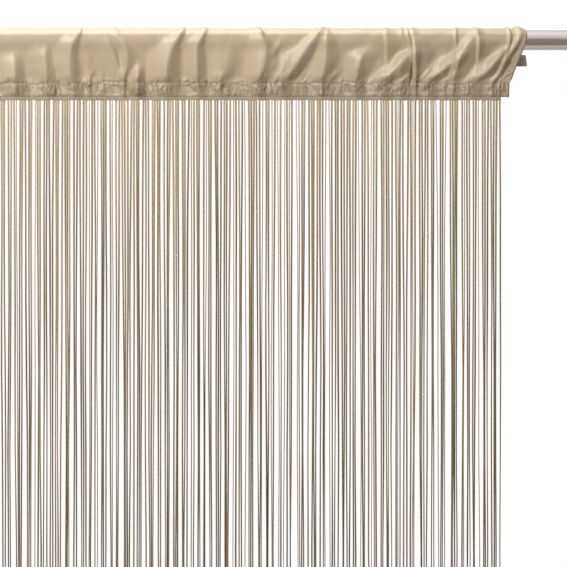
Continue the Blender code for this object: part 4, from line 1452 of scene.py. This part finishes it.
@dataclass
class Rod:
    """The rod: satin steel, drawn solid, with plain closed ends whose edge is eased."""

    radius: float = 0.010
    half_length: float = 0.510
    eased: float = 0.0012
    end_radius: float = 0.00688  # of the flat in the middle of an end
    sides: int = 128
    eased_steps: int = 5

    def build(self, rod_from_wall: float, finish: bpy.types.Material) -> bpy.types.Object:
        """Turn the rod's profile, a straight line with a quarter circle at each end.

        Args:
            rod_from_wall: the rod's axis to the wall.
            finish: the steel.

        Returns:
            The rod.
        """
        angle = np.linspace(0, math.pi / 2, self.eased_steps + 1)
        edge_radii = self.radius - self.eased + self.eased * np.sin(angle)
        edge_places = self.half_length - self.eased + self.eased * np.cos(angle)
        radii = np.concatenate([[self.end_radius], edge_radii, edge_radii[::-1], [self.end_radius]])
        places = np.concatenate([[-self.half_length], -edge_places, edge_places[::-1], [self.half_length]])
        turned = turned_points(radii, places, self.sides)
        points = np.stack([turned[..., 2], turned[..., 0] - rod_from_wall, turned[..., 1]], axis=-1)
        piece = add_piece("steel_rod", points, tube_faces(len(radii), self.sides), finish)
        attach(piece, "root")
        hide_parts("rod")
        return piece


class Side(Enum):
    """The two ends of the rod, with the sign of X at each."""

    LEFT = -1
    RIGHT = 1


@dataclass
class ClampKnob:
    """The knob under a bracket's arm: a fluted grip that flares downwards, and its threaded shaft."""

    side: Side
    x: float = 0.4395
    from_wall: float = 0.045
    top: float = -0.0143
    height: float = 0.0115
    top_radius: float = 0.0098
    base_radius: float = 0.0110
    bevel: float = 0.0008
    dish_radius: float = 0.00605
    dish_depth: float = 0.0006
    shaft_radius: float = 0.0025
    shaft_top: float = 0.0006
    shaft_bevel: tuple = (0.0006, 0.0004)  # of its tip, inwards and down
    thread_depth: float = 0.0003
    threads: int = 22
    flutes: int = 24
    flute_depth: float = 0.00045
    points_per_flute: int = 6
    grip_rows: int = 6
    sharp: float = math.radians(50)  # edges at least as sharp as this are shaded as edges

    def build(self, finish: bpy.types.Material) -> bpy.types.Object:
        """Turn the knob and its shaft as one closed piece.

        The grip's radius grows evenly from top to base and is cut by flutes, depth * (1 - |cos|) round the
        axis, which run out at both rims. The shaft's radius swings a little for its thread.

        Args:
            finish: the plastic.

        Returns:
            The knob.
        """
        sides = self.flutes * self.points_per_flute
        foot = self.top - self.height
        tip_in, tip_down = self.shaft_bevel
        share = np.linspace(0.0, 1.0, self.grip_rows)
        grip_places = foot + self.bevel + (self.height - 2 * self.bevel) * share
        grip_radii = self.base_radius + (self.top_radius - self.base_radius) * share
        thread_places = np.linspace(self.top, self.shaft_top - tip_down, self.threads)
        thread_radii = self.shaft_radius - self.thread_depth * (np.arange(self.threads) % 2)
        base_radii = [self.dish_radius, self.base_radius - self.bevel]
        base_places = [foot + self.dish_depth, foot]
        rim = [self.top_radius - self.bevel]
        tip = [self.shaft_radius - tip_in]
        radii = np.concatenate([base_radii, grip_radii, rim, thread_radii, tip])
        places = np.concatenate([base_places, grip_places, [self.top], thread_places, [self.shaft_top]])
        cut = np.zeros((len(radii), 1))
        cut[2 : 2 + self.grip_rows] = self.flute_depth
        turn = np.arange(sides) * math.pi * self.flutes / sides
        turned = turned_points(radii, places, sides, -cut * (1.0 - np.abs(np.cos(turn))))
        points = turned + np.array([self.side.value * self.x, -self.from_wall, 0.0])
        name = self.side.name.lower()
        piece = add_piece(f"knob_{name}", points, tube_faces(len(radii), sides), finish)
        piece.data.set_sharp_from_angle(angle=self.sharp)
        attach(piece, "root")
        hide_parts(f"clamp_screw_{name}")
        return piece


@dataclass
class Brackets:
    """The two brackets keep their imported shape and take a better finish."""

    nodes: tuple = ("bracket_left", "bracket_right")

    def dress(self, finish: bpy.types.Material) -> None:
        """Give both brackets their finish.

        Args:
            finish: the lacquer.
        """
        for name in self.nodes:
            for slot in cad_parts[name].material_slots:
                slot.material = finish
            log.info("%s keeps its shape and takes %s", name, finish.name)


# ---- The studio ----------------------------------------------------------------------------------
class Lamp(NamedTuple):
    """A soft box: its power in watts, where it stands, what it faces, its two sizes and its linear RGB."""

    power: float
    place: tuple
    aim: tuple
    size: tuple
    colour: tuple


class Stop(NamedTuple):
    """The surround at one elevation in degrees: how bright it is, and how warm, from 0 to 1."""

    elevation: float
    brightness: float
    warmth: float

    def place(self) -> float:
        """Its place on a ramp that runs with the sine of the elevation, from -1 to 1."""
        return (math.sin(math.radians(self.elevation)) + 1) / 2

    def colour(self, cold: np.ndarray, warm: np.ndarray) -> tuple:
        """Its linear RGBA, by its warmth between a cold and a warm white."""
        return (*(self.brightness * (cold + (warm - cold) * self.warmth)).tolist(), 1.0)


@dataclass
class Studio:
    """A white studio: a far camera with a long lens, soft light and a pale floor."""

    view: float = 0.567  # metres across the picture
    aim: tuple = (0.2065, -0.075, -0.2432)
    distance: float = 20.0
    sensor: float = 36.0  # mm
    clip: tuple = (0.5, 500.0)
    floor_height: float = -2.03
    floor_reach: tuple = (-2.4, 2.4, -1.05, 1.8)
    lamps: dict = field(
        default_factory=lambda: {
            "key": Lamp(51.5, (-0.90, -1.93, 0.60), (0.0, -0.075, 0.0), (0.36, 0.36), (1.0, 0.98, 0.95)),
            "strip": Lamp(13.0, (-0.85, -0.01, 0.55), (-0.85, -0.075, 0.0), (2.4, 0.12), (1.0, 0.97, 0.90)),
        }
    )
    cold: tuple = (1.0, 0.975, 0.965)
    warm: tuple = (1.0, 0.79, 0.68)
    in_front: tuple = (
        Stop(-90, 0.60, 0.2), Stop(-68, 0.42, 0.5), Stop(-57, 0.28, 0.9), Stop(-45, 0.26, 1.0),
        Stop(3, 0.26, 1.0), Stop(13, 0.36, 0.7), Stop(26, 0.58, 0.3), Stop(40, 0.64, 0.2),
        Stop(52, 0.74, 0.1), Stop(66, 0.86, 0.0), Stop(90, 0.95, 0.0),
    )
    behind: tuple = (
        Stop(-90, 0.60, 0.2), Stop(-30, 0.66, 0.2), Stop(23, 0.64, 0.1), Stop(45, 0.64, 0.1),
        Stop(90, 0.92, 0.0),
    )
    front_to_back: float = 0.12  # sine of the angle over which one changes into the other, to each side
    surround_on_cloth: float = 0.87  # share of the surround's brightness that matt surfaces receive

    def add_camera(self) -> None:
        """Set the camera level, square to the wall, with a lens so long that the view is nearly parallel."""
        data = bpy.data.cameras.new("camera")
        data.sensor_width = self.sensor
        data.lens = self.sensor * self.distance / self.view
        data.clip_start, data.clip_end = self.clip
        camera = bpy.data.objects.new("camera", data)
        camera.location = (self.aim[0], self.aim[1] - self.distance, self.aim[2])
        camera.rotation_euler = (math.pi / 2, 0.0, 0.0)
        bpy.context.scene.collection.objects.link(camera)
        bpy.context.scene.camera = camera

    def add_lamps(self) -> None:
        """Add the key, in front on the left and near enough to fade along the cloth, and the strip above."""
        for name, (power, place, aim, size, colour) in self.lamps.items():
            data = bpy.data.lights.new(name, "AREA")
            data.shape = "RECTANGLE"
            data.size, data.size_y = size
            data.energy = power
            data.color = colour
            lamp = bpy.data.objects.new(name, data)
            lamp.location = place
            lamp.rotation_mode = "QUATERNION"
            lamp.rotation_quaternion = (Vector(aim) - Vector(place)).to_track_quat("-Z", "Y")
            lamp.visible_camera = False
            bpy.context.scene.collection.objects.link(lamp)

    def add_world(self) -> None:
        """A white background, and a surround that is dark in a band in front and bright above and behind."""
        world = bpy.data.worlds.new("studio")
        bpy.context.scene.world = world
        world.use_nodes = True
        tree = world.node_tree
        tree.nodes.clear()
        direction = add_node(tree, "TexCoord").outputs["Generated"]
        split = add_node(tree, "SeparateXYZ", inputs={"Vector": direction}).outputs
        height = add_node(tree, "MapRange", inputs={0: split["Z"], 1: -1.0}).outputs[0]
        turn = {0: split["Y"], 1: -self.front_to_back, 2: self.front_to_back, 3: 1.0, 4: 0.0}
        front_share = add_node(tree, "MapRange", inputs=turn).outputs[0]
        sides = {0: front_share}
        for place, stops in ((6, self.behind), (7, self.in_front)):
            ramp = add_node(tree, "ValToRGB", inputs={"Fac": height})
            elements = ramp.color_ramp.elements
            for stop in stops[1:-1]:
                elements.new(stop.place())
            for element, stop in zip(elements, stops):
                element.color = stop.colour(np.array(self.cold), np.array(self.warm))
            sides[place] = ramp.outputs["Color"]
        surround = add_node(tree, "Mix", COLOUR_MIX, sides).outputs[2]
        path = add_node(tree, "LightPath").outputs
        white = {0: path["Is Camera Ray"], 6: surround, 7: (1.0, 1.0, 1.0, 1.0)}
        colour = add_node(tree, "Mix", COLOUR_MIX, white).outputs[2]
        matt = {0: path["Is Diffuse Ray"], 3: 1.0, 4: self.surround_on_cloth}
        strength = add_node(tree, "MapRange", inputs=matt).outputs[0]
        shade = add_node(tree, "Background", inputs={"Color": colour, "Strength": strength})
        add_node(tree, "OutputWorld", inputs={"Surface": shade.outputs[0]})

    def add_floor(self) -> None:
        """Lay the pale floor under the strings."""
        left, right, front, back = self.floor_reach
        corners = ((left, front), (right, front), (right, back), (left, back))
        points = np.array([(*corner, self.floor_height) for corner in corners])
        floor = add_piece("floor", points, [[0, 1, 2, 3]], PaleFloor().material())

    def build(self) -> None:
        """Set up the camera, the lights, the surround and the floor."""
        scene = bpy.context.scene
        scene.view_settings.view_transform = "Standard"
        scene.view_settings.look = "None"
        self.add_camera()
        self.add_world()
        self.add_lamps()
        self.add_floor()
        log.info("studio ready")


def main() -> None:
    logging.basicConfig(level=logging.INFO, format="%(name)s: %(message)s")
    Studio().build()
    heading = Heading()
    strings = Strings()
    tape_finish = WovenTape().material()
    cloth = heading.build(Sateen().material())
    yarn_finish = TwistedYarn().material()
    header = FringeHeader().build(strings.hangs()[:, 0], heading, tape_finish)
    bundles = strings.build(heading, yarn_finish)
    columns = heading.columns()
    foot_path = heading.front_path(np.full_like(columns, -heading.stitch_drop))
    seam_path = heading.front_path(heading.seam_line(columns))
    seam_row = StitchRow("seam_stitches", pitch=2.6 * MM, length=1.9 * MM, lift=0.32 * MM)
    rows = [
        StitchRow("band_stitches").build(foot_path, tape_finish),
        seam_row.build(seam_path, tape_finish),
    ]
    for side in Side:
        name = f"side_hem_stitches_{side.name.lower()}"
        hem_path = heading.end_path(7.4 * MM, side.value)
        rows.append(StitchRow(name, pitch=2.8 * MM).build(hem_path, tape_finish))
    rod = Rod().build(heading.rod_from_wall, SatinSteel().material())
    plastic = MouldedPlastic().material()
    for side in Side:
        ClampKnob(side).build(plastic)
    Brackets().dress(DarkLacquer().material())


if __name__ == "__main__":
    main()
